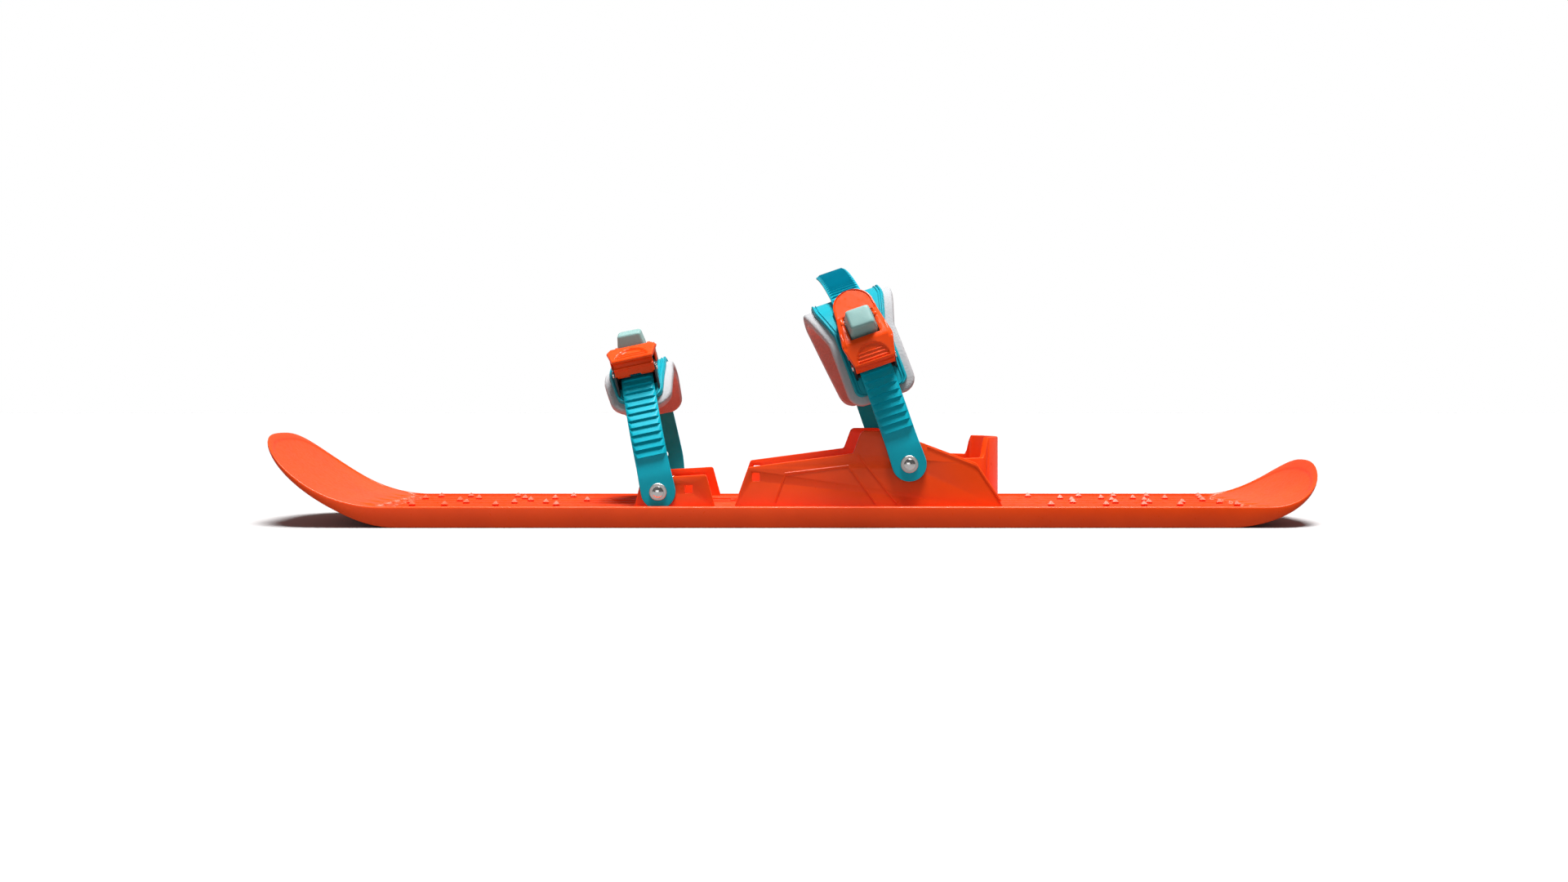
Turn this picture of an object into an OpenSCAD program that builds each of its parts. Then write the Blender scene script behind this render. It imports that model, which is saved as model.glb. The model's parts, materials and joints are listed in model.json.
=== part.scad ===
/* [Ski] */
// Overall length of the ski, tip to tip
ski_length = 564; // [520:2:640]
// Width of the ski
ski_width = 115; // [108:1:130]
// Height of the rim above the ground on the flat stretch
rim_height = 11; // [10:0.5:16]
// Width of the rim that runs round the deck
rim_width = 3.2; // [2.5:0.1:5]
// Depth of the grooves between the deck ribs
groove_depth = 2.5; // [1:0.1:4]
// Number of ribs along the deck
rib_count = 5; // [3:2:7]
// Distance between two ribs
rib_pitch = 18; // [10:0.5:18]
// Width of a rib at its crest
rib_width = 3; // [2:0.5:5]
// Width of a pyramid spike at its base
spike_width = 3.4; // [2.5:0.1:5]
// Height of a pyramid spike above its rib
spike_height = 1.7; // [1:0.1:3]

/* [Turned-up ends] */
// Length of the rounded plan at the nose
nose_round = 46; // [30:1:70]
// Length of the underside's rise at the nose
nose_bend_len = 78; // [70:0.5:90]
// Radius of the first stretch of the nose underside
nose_bend_r = 59; // [50:1:80]
// Angle turned by the first stretch of the nose underside
nose_bend_angle = 22.4; // [15:0.1:25]
// Radius of the second stretch of the nose underside
nose_tip_r = 137; // [120:1:200]
// How much later than the underside's the deck's rise starts at the nose
nose_deck_lead = 7.7; // [6:0.1:9]
// Radius of the first stretch of the nose deck
nose_deck_r = 76.8; // [65:0.1:100]
// Angle turned by the first stretch of the nose deck
nose_deck_angle = 32.5; // [25:0.5:35]
// Thickness of the nose at its tip
nose_tip_t = 2.1; // [1.5:0.1:5]
// Length of the rounded plan at the tail
tail_round = 34; // [25:1:60]
// Length of the underside's rise at the tail
tail_bend_len = 58.6; // [50:0.1:62]
// Radius of the tail underside
tail_bend_r = 72; // [65:1:110]
// How much later than the underside's the deck's rise starts at the tail
tail_deck_lead = 21.2; // [19:0.1:24]
// Thickness of the tail at its tip
tail_tip_t = 3.8; // [2.5:0.1:6]

/* [Walls] */
// Distance from the ski's edge to a side wall
wall_inset = 7.5; // [6:0.5:12]
// Thickness of the side walls and of the heel cup
wall = 3; // [2.5:0.1:4]
// Height of the front ears above the ground
ear_height = 27.1; // [26:0.5:32]
// Height of the rear housing at its front end
housing_front_height = 30.9; // [28:0.5:34]
// Height of the rear housing at its shoulder
housing_height = 49.8; // [46:0.5:56]
// Height of the heel cup
heel_height = 35.3; // [30:0.5:40]
// Height of the tab at the back of the heel cup
heel_tab_height = 46; // [42:0.5:50]
// Width of the heel tab at its foot
heel_tab_width = 64; // [50:1:70]
// Where the heel cup's curve starts
heel_centre_x = 62.8; // [58:0.5:68]
// Side of the square windows in the walls
window = 4.2; // [3:0.1:5]

/* [Front strap] */
// Front pivot, distance from the middle towards the nose
front_pivot_back = 70.2; // [66:0.1:73]
// Front pivot, height above the ground
front_pivot_z = 18.3; // [18.2:0.1:20]
// Lean of the front strap towards the nose
front_tilt = 12; // [8:1:16]
// Height of the front arch above its pivots
front_arch_h = 69.3; // [66:0.1:72]
// Radius of the sides of the front arch
front_side_r = 75; // [73:1:90]
// Width of the front foam at its lower ends
front_foam_end_w = 30; // [27:0.5:34]
// Width of the front foam on top
front_foam_w = 37.8; // [35:0.1:44]
// Width of the front plate at its lower ends
front_plate_end_w = 23; // [22:0.5:25]
// Width of the front plate on top
front_plate_w = 31.2; // [30:0.1:33]
// Angle round the front arch at which the buckle's lever pin sits
front_pin_at = 49.5; // [47:0.5:52]
// Direction of the front buckle
front_pin_turn = 78; // [74:1:82]
// Length of the loose end of the front ladder strap
front_tail_len = 34; // [25:1:40]

/* [Rear strap] */
// Rear pivot, distance from the middle towards the tail
rear_pivot_fwd = 59.8; // [58:0.1:62]
// Rear pivot, height above the ground
rear_pivot_z = 32.6; // [31:0.1:34]
// Lean of the rear strap towards the nose
rear_tilt = 19; // [14:1:22]
// Height of the rear arch above its pivots
rear_arch_h = 95.3; // [92:0.1:98]
// Radius of the sides of the rear arch
rear_side_r = 100; // [95:1:110]
// Width of the rear foam at its lower ends
rear_foam_end_w = 36.6; // [34:0.1:40]
// Width of the rear foam on top
rear_foam_w = 50.4; // [46:0.1:56]
// Width of the rear plate at its lower ends
rear_plate_end_w = 28.6; // [27:0.1:32]
// Width of the rear plate on top
rear_plate_w = 38.8; // [36:0.1:42]
// Angle round the rear arch at which the buckle's lever pin sits
rear_pin_at = 19.7; // [18:0.1:22]
// Direction of the rear buckle
rear_pin_turn = 30.5; // [28:0.5:33]
// Length of the loose end of the rear ladder strap
rear_tail_len = 80; // [60:1:90]

/* [Strap sections] */
// Width of the ladder straps
ladder_w = 17.2; // [15:0.1:18]
// Width of the anchor straps
anchor_w = 20.6; // [18:0.1:22]
// Thickness of a strap
strap_t = 2.2; // [1.8:0.1:2.4]
// Radius of the round foot of a strap
strap_foot_r = 9; // [8.6:0.1:9.1]
// Distance between two ladder teeth
tooth_pitch = 4; // [3:0.5:5]
// Height of a ladder tooth
tooth_h = 1; // [0.6:0.1:1.1]
// Plain width left beside the teeth on each side
tooth_margin = 0.6; // [0.4:0.1:2]
// Thickness of the pad's plate
plate_t = 2.2; // [1.8:0.1:3]
// Height of the rims along the plate's edges
plate_rim_h = 0.8; // [0.4:0.1:1.2]
// Thickness of the pad's foam
foam_t = 5; // [4:0.5:7]
// Thickness of the pad's liner
liner_t = 1.4; // [1:0.1:2]
// Distance between two adjusting holes in an anchor strap
hole_pitch = 16.5; // [12:0.5:18]
// Radius of an adjusting hole
hole_r = 2; // [1.6:0.1:2.4]

/* [Pivot hardware] */
// Radius of a pivot bolt's shank
bolt_r = 2; // [1.8:0.05:2.4]
// Radius of a pivot bolt's domed head
bolt_head_r = 2.9; // [2.7:0.1:3.4]
// Radius of a washer
washer_r = 4.5; // [4:0.1:5]
// Thickness of a washer
washer_t = 0.9; // [0.6:0.1:1.1]
// Distance across the flats of a nut
nut_across = 7; // [6.5:0.1:8]
// Thickness of a nut
nut_t = 2.4; // [2:0.1:3.2]

/* [Buckle] */
// Overall width of the lever
lever_w = 27.2; // [26:0.1:29]
// Height of the lever's ridge above its pin
lever_h = 12.2; // [11.5:0.1:13]
// Reach of the lever's tongue from its pin
lever_reach = 42.5; // [40:0.5:45]
// Thickness of the lever's top
lever_t = 2.4; // [2:0.1:3]
// Width of the lever's tongue
tongue_w = 21.6; // [20:0.1:22.5]
// Width of the release button at its foot
button_w = 15.2; // [13:0.1:16]
// Height of the release button above the lever pin
button_h = 18.5; // [16:0.5:20]
// Thickness of the steel buckle base
base_t = 1.1; // [0.8:0.1:1.2]
// Gap between the buckle's two cheeks
cheek_gap = 20.4; // [20:0.1:21]
// Height of the lever pin above the plate
pin_lift = 8; // [7.8:0.1:9]
// Radius of the lever pin
pin_r = 1.25; // [1:0.05:1.5]
// Radius of the button pin and of the lock pawl pin
small_pin_r = 0.9; // [0.7:0.05:1]

/* [Hidden] */
$fn = 64;

// Clearances between neighbouring pieces
strap_gap = 0.4;
layer_gap = 0.1;
running_gap = 0.05;
// How far one shape of a solid reaches into the next, so that they join
bite = 0.2;
// A size that passes through everything it cuts
through = 400;
arc_step = 5;

// Ski profile
half_length = ski_length / 2;
wall_span = ski_width - 2 * wall_inset;
floor_z = rim_height - groove_depth;
nose_squareness = 2.9;
tail_squareness = 2.4;
nose_deck_len = nose_bend_len - nose_deck_lead;
tail_deck_len = tail_bend_len - tail_deck_lead;
nose_bend_at = half_length - nose_bend_len;
tail_bend_at = half_length - tail_bend_len;
nose_deck_at = half_length - nose_deck_len;
tail_deck_at = half_length - tail_deck_len;
groove_front_x = -(nose_deck_at + 21);
groove_front_flat_x = -(nose_deck_at + 2);
groove_rear_x = tail_deck_at + 6;
groove_rear_flat_x = tail_deck_at - 12;
// Height above the start of a bend at distance d past it, over two radii
function rise(d, r1, a1, r2) =
    d <= 0 ? 0
    : d <= r1 * sin(a1) ? r1 - sqrt(r1 * r1 - d * d)
    : r1 * (1 - cos(a1)) + r2 * cos(a1) - sqrt(r2 * r2 - pow(d + (r2 - r1) * sin(a1), 2));
// Radius of the last stretch of a deck, so that it ends at height h over its length d
function last_r(d, h, r1, a1) =
    let (run = d - r1 * sin(a1), up = h - r1 * (1 - cos(a1)))
    norm([run, up]) / (2 * sin(atan2(up, run) - a1));
steepest = 80;
nose_deck_rise = rise(nose_bend_len, nose_bend_r, nose_bend_angle, nose_tip_r) + nose_tip_t - rim_height;
nose_deck_tip_r = last_r(nose_deck_len, nose_deck_rise, nose_deck_r, nose_deck_angle);
tail_deck_rise = rise(tail_bend_len, tail_bend_r, steepest, tail_bend_r) + tail_tip_t - rim_height;
tail_deck_r = last_r(tail_deck_len, tail_deck_rise, 0, 0);
function under_z(x) =
    x < 0 ? rise(-x - nose_bend_at, nose_bend_r, nose_bend_angle, nose_tip_r)
    : rise(x - tail_bend_at, tail_bend_r, steepest, tail_bend_r);
function deck_z(x) =
    rim_height + (x < 0 ? rise(-x - nose_deck_at, nose_deck_r, nose_deck_angle, nose_deck_tip_r)
    : rise(x - tail_deck_at, tail_deck_r, steepest, tail_deck_r));
end_step = 4;
nose_stations = [for (x = [-half_length : end_step : -nose_bend_at + end_step]) x];
tail_stations = [for (x = [half_length : -end_step : tail_bend_at - end_step]) x];
stations = concat(nose_stations, [for (i = [len(tail_stations) - 1 : -1 : 0]) tail_stations[i]]);

// Deck spikes: rib number from the middle, then distances from the nose tip and from the tail tip
spike_rows = [
    [0, [71, 99, 138, 169], [128, 106, 88, 56]],
    [1, [76, 106, 132, 149], [131, 108, 90, 72, 52]],
    [2, [81, 98, 125, 157], [146, 117, 97, 78, 48]],
];

// Pad layers as [width at the ends, width on top, height where it starts to widen, height where it ends]
front_foam = [front_foam_end_w, front_foam_w, 45, 64];
front_plate = [front_plate_end_w, front_plate_w, 49, 66];
rear_foam = [rear_foam_end_w, rear_foam_w, 74, rear_arch_h];
rear_plate = [rear_plate_end_w, rear_plate_w, 76, 91];
// Loose ends as [radius, length] of their two bends
front_loose = [[130, front_tail_len / 2], [130, front_tail_len / 2]];
rear_loose = [[60, rear_tail_len / 5], [220, rear_tail_len * 4 / 5]];
// Lowest angles of the foam and of the plate, and how much further down the far end of the pad reaches
front_low = [30, 34, 2.6];
rear_low = [9.6, 12, 0];
front_foot_h = 8;
rear_foot_h = 20;
front_base_end = 87.5;
rear_base_end = 51.8;
FRONT = [-front_pivot_back, front_pivot_z, front_tilt, front_arch_h, front_side_r, front_foot_h, front_foam,
    front_plate, front_pin_at, front_pin_turn, front_base_end, front_loose, front_low];
REAR = [rear_pivot_fwd, rear_pivot_z, rear_tilt, rear_arch_h, rear_side_r, rear_foot_h, rear_foam,
    rear_plate, rear_pin_at, rear_pin_turn, rear_base_end, rear_loose, rear_low];
function pivot_x(s) = s[0];
function pivot_z(s) = s[1];
function tilt(s) = s[2];
function arch_h(s) = s[3];
function side_r(s) = s[4];
function foot_h(s) = s[5];
function foam_shape(s) = s[6];
function plate_shape(s) = s[7];
function pin_at(s) = s[8];
function pin_turn(s) = s[9];
function base_high(s) = s[10];
function loose(s) = s[11];
function foam_low(s) = s[12][0];
function plate_low(s) = s[12][1];
function far_drop(s) = s[12][2];
// The arch: a straight foot, a side arc and a top arc, as offsets from the straps' inner faces
half_span = wall_span / 2 + strap_gap - layer_gap;
function side_c(s) = side_r(s) - half_span;
function arch_rise(s) = arch_h(s) - foot_h(s);
function top_r(s) =
    (pow(side_c(s), 2) + pow(arch_rise(s), 2) - pow(side_r(s), 2)) / (2 * (arch_rise(s) - side_r(s)));
function top_h(s) = arch_h(s) - top_r(s);
function join_angle(s) = asin((top_h(s) - foot_h(s)) / (side_r(s) - top_r(s)));
// Point at angle a round the near half of the arch; a below 0 runs down the straight foot in millimetres
function near_arch(s, a, d) =
    a < 0 ? [-(half_span + d), foot_h(s) + a]
    : a <= join_angle(s) ? [side_c(s) - (side_r(s) + d) * cos(a), foot_h(s) + (side_r(s) + d) * sin(a)]
    : [-(top_r(s) + d) * cos(a), top_h(s) + (top_r(s) + d) * sin(a)];
function far_arch(p) = [-p.x, p.y];
function arch(s, a, d) = a <= 90 ? near_arch(s, a, d) : far_arch(near_arch(s, 180 - a, d));
// Angles from one end of a band to the other, with shared stations between
function steps(from, to) = concat(
    [from], [for (a = [ceil((from + 0.01) / arc_step) * arc_step : arc_step : to - 0.01]) a], [to]);
function band(s, from, to, d0, d1) = let (angles = steps(from, to)) concat(
    [for (a = angles) arch(s, a, d0)],
    [for (i = [len(angles) - 1 : -1 : 0]) arch(s, angles[i], d1)]);

// Buckle frame: t along the buckle and n away from the plate, both from the lever pin's middle
base_overhang = 3.4;
function buckle_r(s) = pin_at(s) > join_angle(s) ? top_r(s) : side_r(s);
function base_low(s) = pin_at(s) - base_overhang / buckle_r(s) * 180 / PI;
function pin_point(s) = arch(s, pin_at(s), pin_lift);
// The n of the plate's face at t
function plate_n(s, t) =
    let (centre = pin_at(s) > join_angle(s) ? [0, top_h(s)] : [side_c(s), foot_h(s)])
    let (v = centre - pin_point(s), turn = pin_turn(s), along = t - v.x * sin(turn) - v.y * cos(turn))
    v.y * sin(turn) - v.x * cos(turn) + sqrt(pow(buckle_r(s), 2) - along * along);
cheek_in = cheek_gap / 2;
cheek_out = cheek_in + base_t;
lever_in = cheek_out + 0.3;
knuckle_w = cheek_gap - 0.8;
knuckle_r = 2.7;
window_front = 9.5;
window_back = 24.9;
window_w = button_w + 0.4;
step_t = window_back + 1;
button_pin_t = 21.3;
button_pin_n = 8.6;
lock_pin_t = 20;
lock_pin_n = 4.6;
drive_pin_t = 6.2;
drive_pin_n = 3;
drive_pin_r = 0.8;
floor_t = 1.2;
ladder_lift = floor_t + strap_gap;
ribbon_t = strap_t - tooth_h * 0.6;
// The n of the teeth's tips at t
function teeth_n(s, t) = plate_n(s, t) + ladder_lift + ribbon_t + tooth_h;

// Places a drawing of (across the ski, up) at its width along the ski
module across(w) {
    rotate([90, 0, 90])
        linear_extrude(w, center = true)
            children();
}
module on_strap(s) {
    translate([pivot_x(s), 0, pivot_z(s)])
        rotate([0, -tilt(s), 0])
            children();
}
module at_buckle(s) {
    origin = pin_point(s);
    translate([0, origin.x, origin.y])
        rotate([90 - pin_turn(s), 0, 0])
            children();
}
// A round bar along the buckle's width, at t and n
module cross_bar(t, n, r, w) {
    translate([0, t, n])
        rotate([0, 90, 0])
            cylinder(h = w, r = r, center = true);
}

module plan_end(length, width, round_len, power, side) {
    start = length - round_len;
    quarter = [for (a = [0 : arc_step : 90])
        [side * (start + round_len * pow(sin(a), 2 / power)), width * pow(cos(a), 2 / power)]];
    polygon(concat(
        [[0, width], [0, -width]],
        [for (p = quarter) [p.x, -p.y]],
        [for (i = [len(quarter) - 2 : -1 : 0]) quarter[i]]
    ));
}
module plan(inset) {
    plan_end(half_length - inset, ski_width / 2 - inset, nose_round, nose_squareness, -1);
    plan_end(half_length - inset, ski_width / 2 - inset, tail_round, tail_squareness, 1);
}
// Places a side view drawing (along the ski, up) through the whole width
module side_view(w) {
    rotate([90, 0, 0])
        linear_extrude(w, center = true)
            children();
}
module ski_blank() {
    intersection() {
        side_view(ski_width + 2)
            polygon(concat(
                [for (x = stations) [x, under_z(x)]],
                [for (i = [len(stations) - 1 : -1 : 0]) [stations[i], deck_z(stations[i])]]
            ));
        linear_extrude(through)
            plan(0);
    }
}
module deck_grooves() {
    difference() {
        intersection() {
            side_view(ski_width)
                polygon([
                    [groove_front_x, deck_z(groove_front_x)],
                    [groove_front_flat_x, floor_z],
                    [groove_rear_flat_x, floor_z],
                    [groove_rear_x, deck_z(groove_rear_x)],
                    [groove_rear_x, through / 8],
                    [groove_front_x, through / 8],
                ]);
            linear_extrude(through)
                plan(rim_width);
        }
        for (i = [0 : rib_count - 1])
            translate([0, (i - (rib_count - 1) / 2) * rib_pitch, 0])
                cube([ski_length, rib_width, through], center = true);
    }
}
module spike() {
    tri = [[-spike_width / 2, -bite], [spike_width / 2, -bite], [0, spike_height]];
    intersection() {
        side_view(spike_width)
            polygon(tri);
        across(spike_width)
            polygon(tri);
    }
}
module spikes() {
    for (row = spike_rows, side = row[0] == 0 ? [1] : [-1, 1])
        if (row[0] <= (rib_count - 1) / 2)
            for (x = concat([for (d = row[1]) d - half_length], [for (d = row[2]) half_length - d]))
                translate([x, side * row[0] * rib_pitch, deck_z(x)])
                    spike();
}
// Side outlines of the walls, along the ski and up
module ear_outline() {
    x = -front_pivot_back;
    polygon([
        [x - 13.2, floor_z - bite],
        [x - 8.8, ear_height - 1.8],
        [x + 8.2, ear_height - 1],
        [x + 24.8, ear_height],
        [x + 30, floor_z - bite],
    ]);
}
module housing_outline() {
    x = rear_pivot_fwd;
    polygon([
        [x - 91.5, floor_z - bite],
        [x - 83.3, housing_front_height],
        [x - 28.9, housing_front_height + 7.2],
        [x - 25, housing_height - 1.2],
        [x - 23.3, housing_height],
        [x - 9.5, housing_height],
        [x + 35.3, housing_height - 16.8],
        [x + 50.5, floor_z - bite],
    ]);
}
module wall_windows() {
    for (place = [[-front_pivot_back + 15.7, 19.5], [rear_pivot_fwd - 79.4, 25.8]])
        translate([place.x, 0, place.y])
            cube([window, through, window], center = true);
}
module heel_cup() {
    cup_r = wall_span / 2;
    intersection() {
        difference() {
            cylinder(h = heel_tab_height, r = cup_r, $fn = 128);
            translate([0, 0, -1])
                cylinder(h = heel_tab_height + 2, r = cup_r - wall, $fn = 128);
        }
        translate([0, -cup_r, floor_z - bite])
            cube([cup_r, wall_span, heel_tab_height]);
        across(wall_span * 2 + 1)
            polygon([
                [-cup_r, 0],
                [cup_r, 0],
                [cup_r, heel_height],
                [heel_tab_width / 2, heel_height],
                [heel_tab_width / 2 - 4, heel_tab_height],
                [-heel_tab_width / 2 + 4, heel_tab_height],
                [-heel_tab_width / 2, heel_height],
                [-cup_r, heel_height],
            ]);
    }
}
module side_walls() {
    for (side = [-1, 1])
        translate([0, side * (wall_span - wall) / 2, 0])
            side_view(wall) {
                ear_outline();
                housing_outline();
            }
}
module at_pivots() {
    for (s = [FRONT, REAR], side = [-1, 1])
        translate([pivot_x(s), 0, pivot_z(s)])
            rotate([side * -90, 0, 0])
                children();
}
module ski_body() {
    color("orangered") {
        difference() {
            union() {
                difference() {
                    ski_blank();
                    deck_grooves();
                }
                side_walls();
                translate([heel_centre_x, 0, 0])
                    heel_cup();
            }
            wall_windows();
            at_pivots()
                cylinder(h = through, r = bolt_r + running_gap);
        }
        spikes();
    }
}

// Pivot hardware, stacked outwards from the wall
strap_out = half_span + layer_gap + strap_t;
washer_at = strap_out + layer_gap;
head_at = washer_at + washer_t;
nut_at = wall_span / 2 - wall;
head_h = 1.9;
module pivot_bolts() {
    color("silver")
        at_pivots() {
            translate([0, 0, nut_at - nut_t])
                cylinder(h = head_at - nut_at + nut_t + bite, r = bolt_r);
            translate([0, 0, head_at])
                intersection() {
                    cylinder(h = head_h, r = bolt_head_r);
                    translate([0, 0, head_h - 1.6 * bolt_head_r])
                        sphere(r = 1.6 * bolt_head_r);
                }
        }
}
module pivot_washers() {
    color("lightgrey")
        at_pivots()
            translate([0, 0, washer_at])
                difference() {
                    cylinder(h = washer_t, r = washer_r);
                    translate([0, 0, -1])
                        cylinder(h = washer_t + 2, r = bolt_r + running_gap);
                }
}
module pivot_nuts() {
    color("silver")
        at_pivots()
            translate([0, 0, nut_at - nut_t])
                difference() {
                    cylinder(h = nut_t, r = nut_across / sqrt(3), $fn = 6);
                    translate([0, 0, -1])
                        cylinder(h = nut_t + 2, r = bolt_r + running_gap);
                }
}

// A strap's round foot with its pivot hole, at one side
module strap_foot(side) {
    rotate([side * -90, 0, 0])
        translate([0, 0, half_span + layer_gap])
            cylinder(h = strap_t, r = strap_foot_r);
}
module pivot_hole() {
    rotate([90, 0, 0])
        cylinder(h = through, r = bolt_r + running_gap, center = true);
}
// Ladder strap: its inner face's distance from the plate's face at angle a
function ladder_inner(s, a) =
    let (from = base_low(s) - 14, share = (a - from) / (base_low(s) - from))
    layer_gap + (ladder_lift - layer_gap) * min(1, max(0, share));
function ladder_angles(s) = steps(0, base_high(s));
// Stations along the ladder: point on the inner face and direction of its outward normal
function ladder_body(s) = concat(
    [[-(half_span + layer_gap), 0, 0]],
    [for (a = ladder_angles(s)) [each arch(s, a, ladder_inner(s, a)), a]]);
// A bend of the loose end: stations from point p at angle a0 over a length, on radius r
bend_steps = 6;
function bend(p, a0, r, length) =
    let (c = [p[0] + r * cos(a0), p[1] - r * sin(a0)], sweep = length / r * 180 / PI)
    [for (i = [1 : bend_steps])
        let (a = a0 + sweep * i / bend_steps)
        [c.x - r * cos(a), c.y + r * sin(a), a]];
function loose_end(s) =
    let (first = bend(arch(s, base_high(s), ladder_lift), base_high(s), loose(s)[0][0], loose(s)[0][1]))
    let (last = first[bend_steps - 1])
    concat(first, bend(last, last[2], loose(s)[1][0], loose(s)[1][1]));
function ladder_path(s) = concat(ladder_body(s), loose_end(s));
function outward(p, d) = [p[0] - d * cos(p[2]), p[1] + d * sin(p[2])];
// Length along a path up to station i, and the station at a length
function run_to(path, i) =
    i == 0 ? 0 : run_to(path, i - 1) + norm([path[i][0] - path[i - 1][0], path[i][1] - path[i - 1][1]]);
function at_length(path, runs, l) =
    let (i = max([for (k = [0 : len(runs) - 2]) runs[k] <= l ? k : 0]))
    let (f = (l - runs[i]) / (runs[i + 1] - runs[i]))
    path[i] + f * (path[i + 1] - path[i]);
plain_foot = 18.7;
module ladder_strap(s) {
    path = ladder_path(s);
    runs = [for (i = [0 : len(path) - 1]) run_to(path, i)];
    teeth = floor((runs[len(runs) - 1] - plain_foot - tooth_pitch) / tooth_pitch);
    color("darkcyan")
        on_strap(s)
            difference() {
                union() {
                    strap_foot(-1);
                    across(ladder_w)
                        polygon(concat(
                            [for (p = path) outward(p, 0)],
                            [for (i = [len(path) - 1 : -1 : 0]) outward(path[i], ribbon_t)]
                        ));
                    across(ladder_w - 2 * tooth_margin)
                        for (k = [0 : teeth - 1])
                            let (
                                low = at_length(path, runs, plain_foot + k * tooth_pitch),
                                high = at_length(path, runs, plain_foot + (k + 0.9) * tooth_pitch)
                            )
                            polygon([
                                outward(low, ribbon_t - bite),
                                outward(low, ribbon_t + tooth_h),
                                outward(high, ribbon_t),
                                outward(high, ribbon_t - bite),
                            ]);
                }
                pivot_hole();
            }
}

// Anchor strap on the far side, with its row of adjusting holes
// How far up from the plate's edge its screw sits
adjust_up = 13.4;
anchor_top_angle = 12;
anchor_taper_h = 16;
screw_head_r = 4;
screw_head_t = 1.4;
nut_drop = 0.3;
function adjust_at(s) = 180 - plate_low(s) - adjust_up / side_r(s) * 180 / PI;
module at_adjuster(s) {
    place = arch(s, adjust_at(s), 0);
    translate([0, place.x, place.y])
        rotate([90 - adjust_at(s), 0, 0])
            children();
}
module anchor_strap(s) {
    hole_angle = hole_pitch / side_r(s) * 180 / PI;
    anchor_top = adjust_at(s) - anchor_top_angle;
    color("teal")
        on_strap(s)
            difference() {
                union() {
                    strap_foot(1);
                    intersection() {
                        across(anchor_w)
                            polygon(band(s, anchor_top, 180 + foot_h(s), layer_gap, layer_gap + strap_t));
                        side_view(through)
                            polygon([
                                [-strap_foot_r, 0],
                                [strap_foot_r, 0],
                                [anchor_w / 2 + 1, anchor_taper_h],
                                [anchor_w / 2 + 1, through],
                                [-anchor_w / 2 - 1, through],
                                [-anchor_w / 2 - 1, anchor_taper_h],
                            ]);
                    }
                }
                pivot_hole();
                at_adjuster(s)
                    cylinder(h = through / 10, r = hole_r + running_gap, center = true);
                for (k = [-1, 1, 2, 3])
                    let (a = adjust_at(s) + k * hole_angle, place = arch(s, a, 0))
                        if (a < 178)
                            translate([0, place.x, place.y])
                                rotate([90 - a, 0, 0])
                                    cylinder(h = through / 10, r = hole_r + running_gap, center = true);
            }
}
module adjuster_screw(s) {
    nut_face = -plate_t - nut_drop;
    color("silver")
        on_strap(s)
            at_adjuster(s) {
                translate([0, 0, nut_face - screw_head_t])
                    cylinder(h = strap_t + 2 * layer_gap + bite - nut_face + screw_head_t, r = hole_r);
                translate([0, 0, strap_t + 2 * layer_gap])
                    cylinder(h = screw_head_t, r = screw_head_r);
            }
}
module adjuster_nut(s) {
    color("silver")
        on_strap(s)
            at_adjuster(s)
                translate([0, 0, -plate_t - nut_drop - screw_head_t])
                    difference() {
                        cylinder(h = screw_head_t, r = screw_head_r);
                        translate([0, 0, -1])
                            cylinder(h = screw_head_t + 2, r = hole_r + running_gap);
                    }
}

// Half the width of a pad layer's outline at height h; the outline widens towards the top of the arch
function half_at(shape, inset, h) =
    (shape[0] + (shape[1] - shape[0]) * min(1, max(0, (h - shape[2]) / (shape[3] - shape[2])))) / 2 - inset;
function shape_heights(shape) = [0, shape[2], shape[3], through];
module pad_outline(shape, inset) {
    heights = shape_heights(shape);
    polygon(concat(
        [for (h = heights) [half_at(shape, inset, h), h]],
        [for (i = [len(heights) - 1 : -1 : 0]) [-half_at(shape, inset, heights[i]), heights[i]]]
    ));
}
// A pad layer: a band round the arch within its outline
module pad_layer(s, shape, inset, low, d0, d1) {
    intersection() {
        across(shape[1])
            polygon(band(s, low, 180 - low + far_drop(s), d0, d1));
        side_view(through)
            pad_outline(shape, inset);
    }
}
// Rounds the corners at the two lower ends of a layer
module corner_trim(s, w, low, r) {
    for (side = [-1, 1], end = [-1, 1])
        let (place = arch(s, end < 0 ? low : 180 - low + far_drop(s), 0))
            translate([side * w / 2, end * through / 4, place.y])
                rotate([90, 0, 0])
                    difference() {
                        cube([2 * r, 2 * r, through / 2], center = true);
                        translate([-side * r, r, 0])
                            cylinder(h = through, r = r, center = true);
                        translate([-side * r, 2 * r, 0])
                            cube([2 * r, 2 * r, through], center = true);
                    }
}
// Places along the buckle of the two rivets that hold it to the plate
rivet_places = [11, 29];
rivet_r = 1.4;
plate_corner_r = 4;
foam_corner_r = 8;
liner_inset = 0.8;
rim_low = 6;
rim_places = [0.5, 1.5];
nut_pocket_r = 4.5;
module rivet_holes(s) {
    for (t = rivet_places)
        at_buckle(s)
            translate([0, t, plate_n(s, t) - plate_t - 2])
                cylinder(h = plate_t + 2 + floor_t * 4, r = rivet_r + running_gap);
}
module pad_plate(s) {
    shape = plate_shape(s);
    rim_end = plate_low(s) + rim_low;
    color("darkturquoise")
        on_strap(s)
            difference() {
                union() {
                    pad_layer(s, shape, 0, plate_low(s), -plate_t, -layer_gap);
                    difference() {
                        pad_layer(s, shape, rim_places[0], rim_end, -plate_t / 2, plate_rim_h);
                        side_view(through)
                            pad_outline(shape, rim_places[1]);
                    }
                }
                corner_trim(s, shape[0], plate_low(s), plate_corner_r);
                rivet_holes(s);
                at_adjuster(s)
                    cylinder(h = through / 10, r = hole_r + running_gap, center = true);
            }
}
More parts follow.
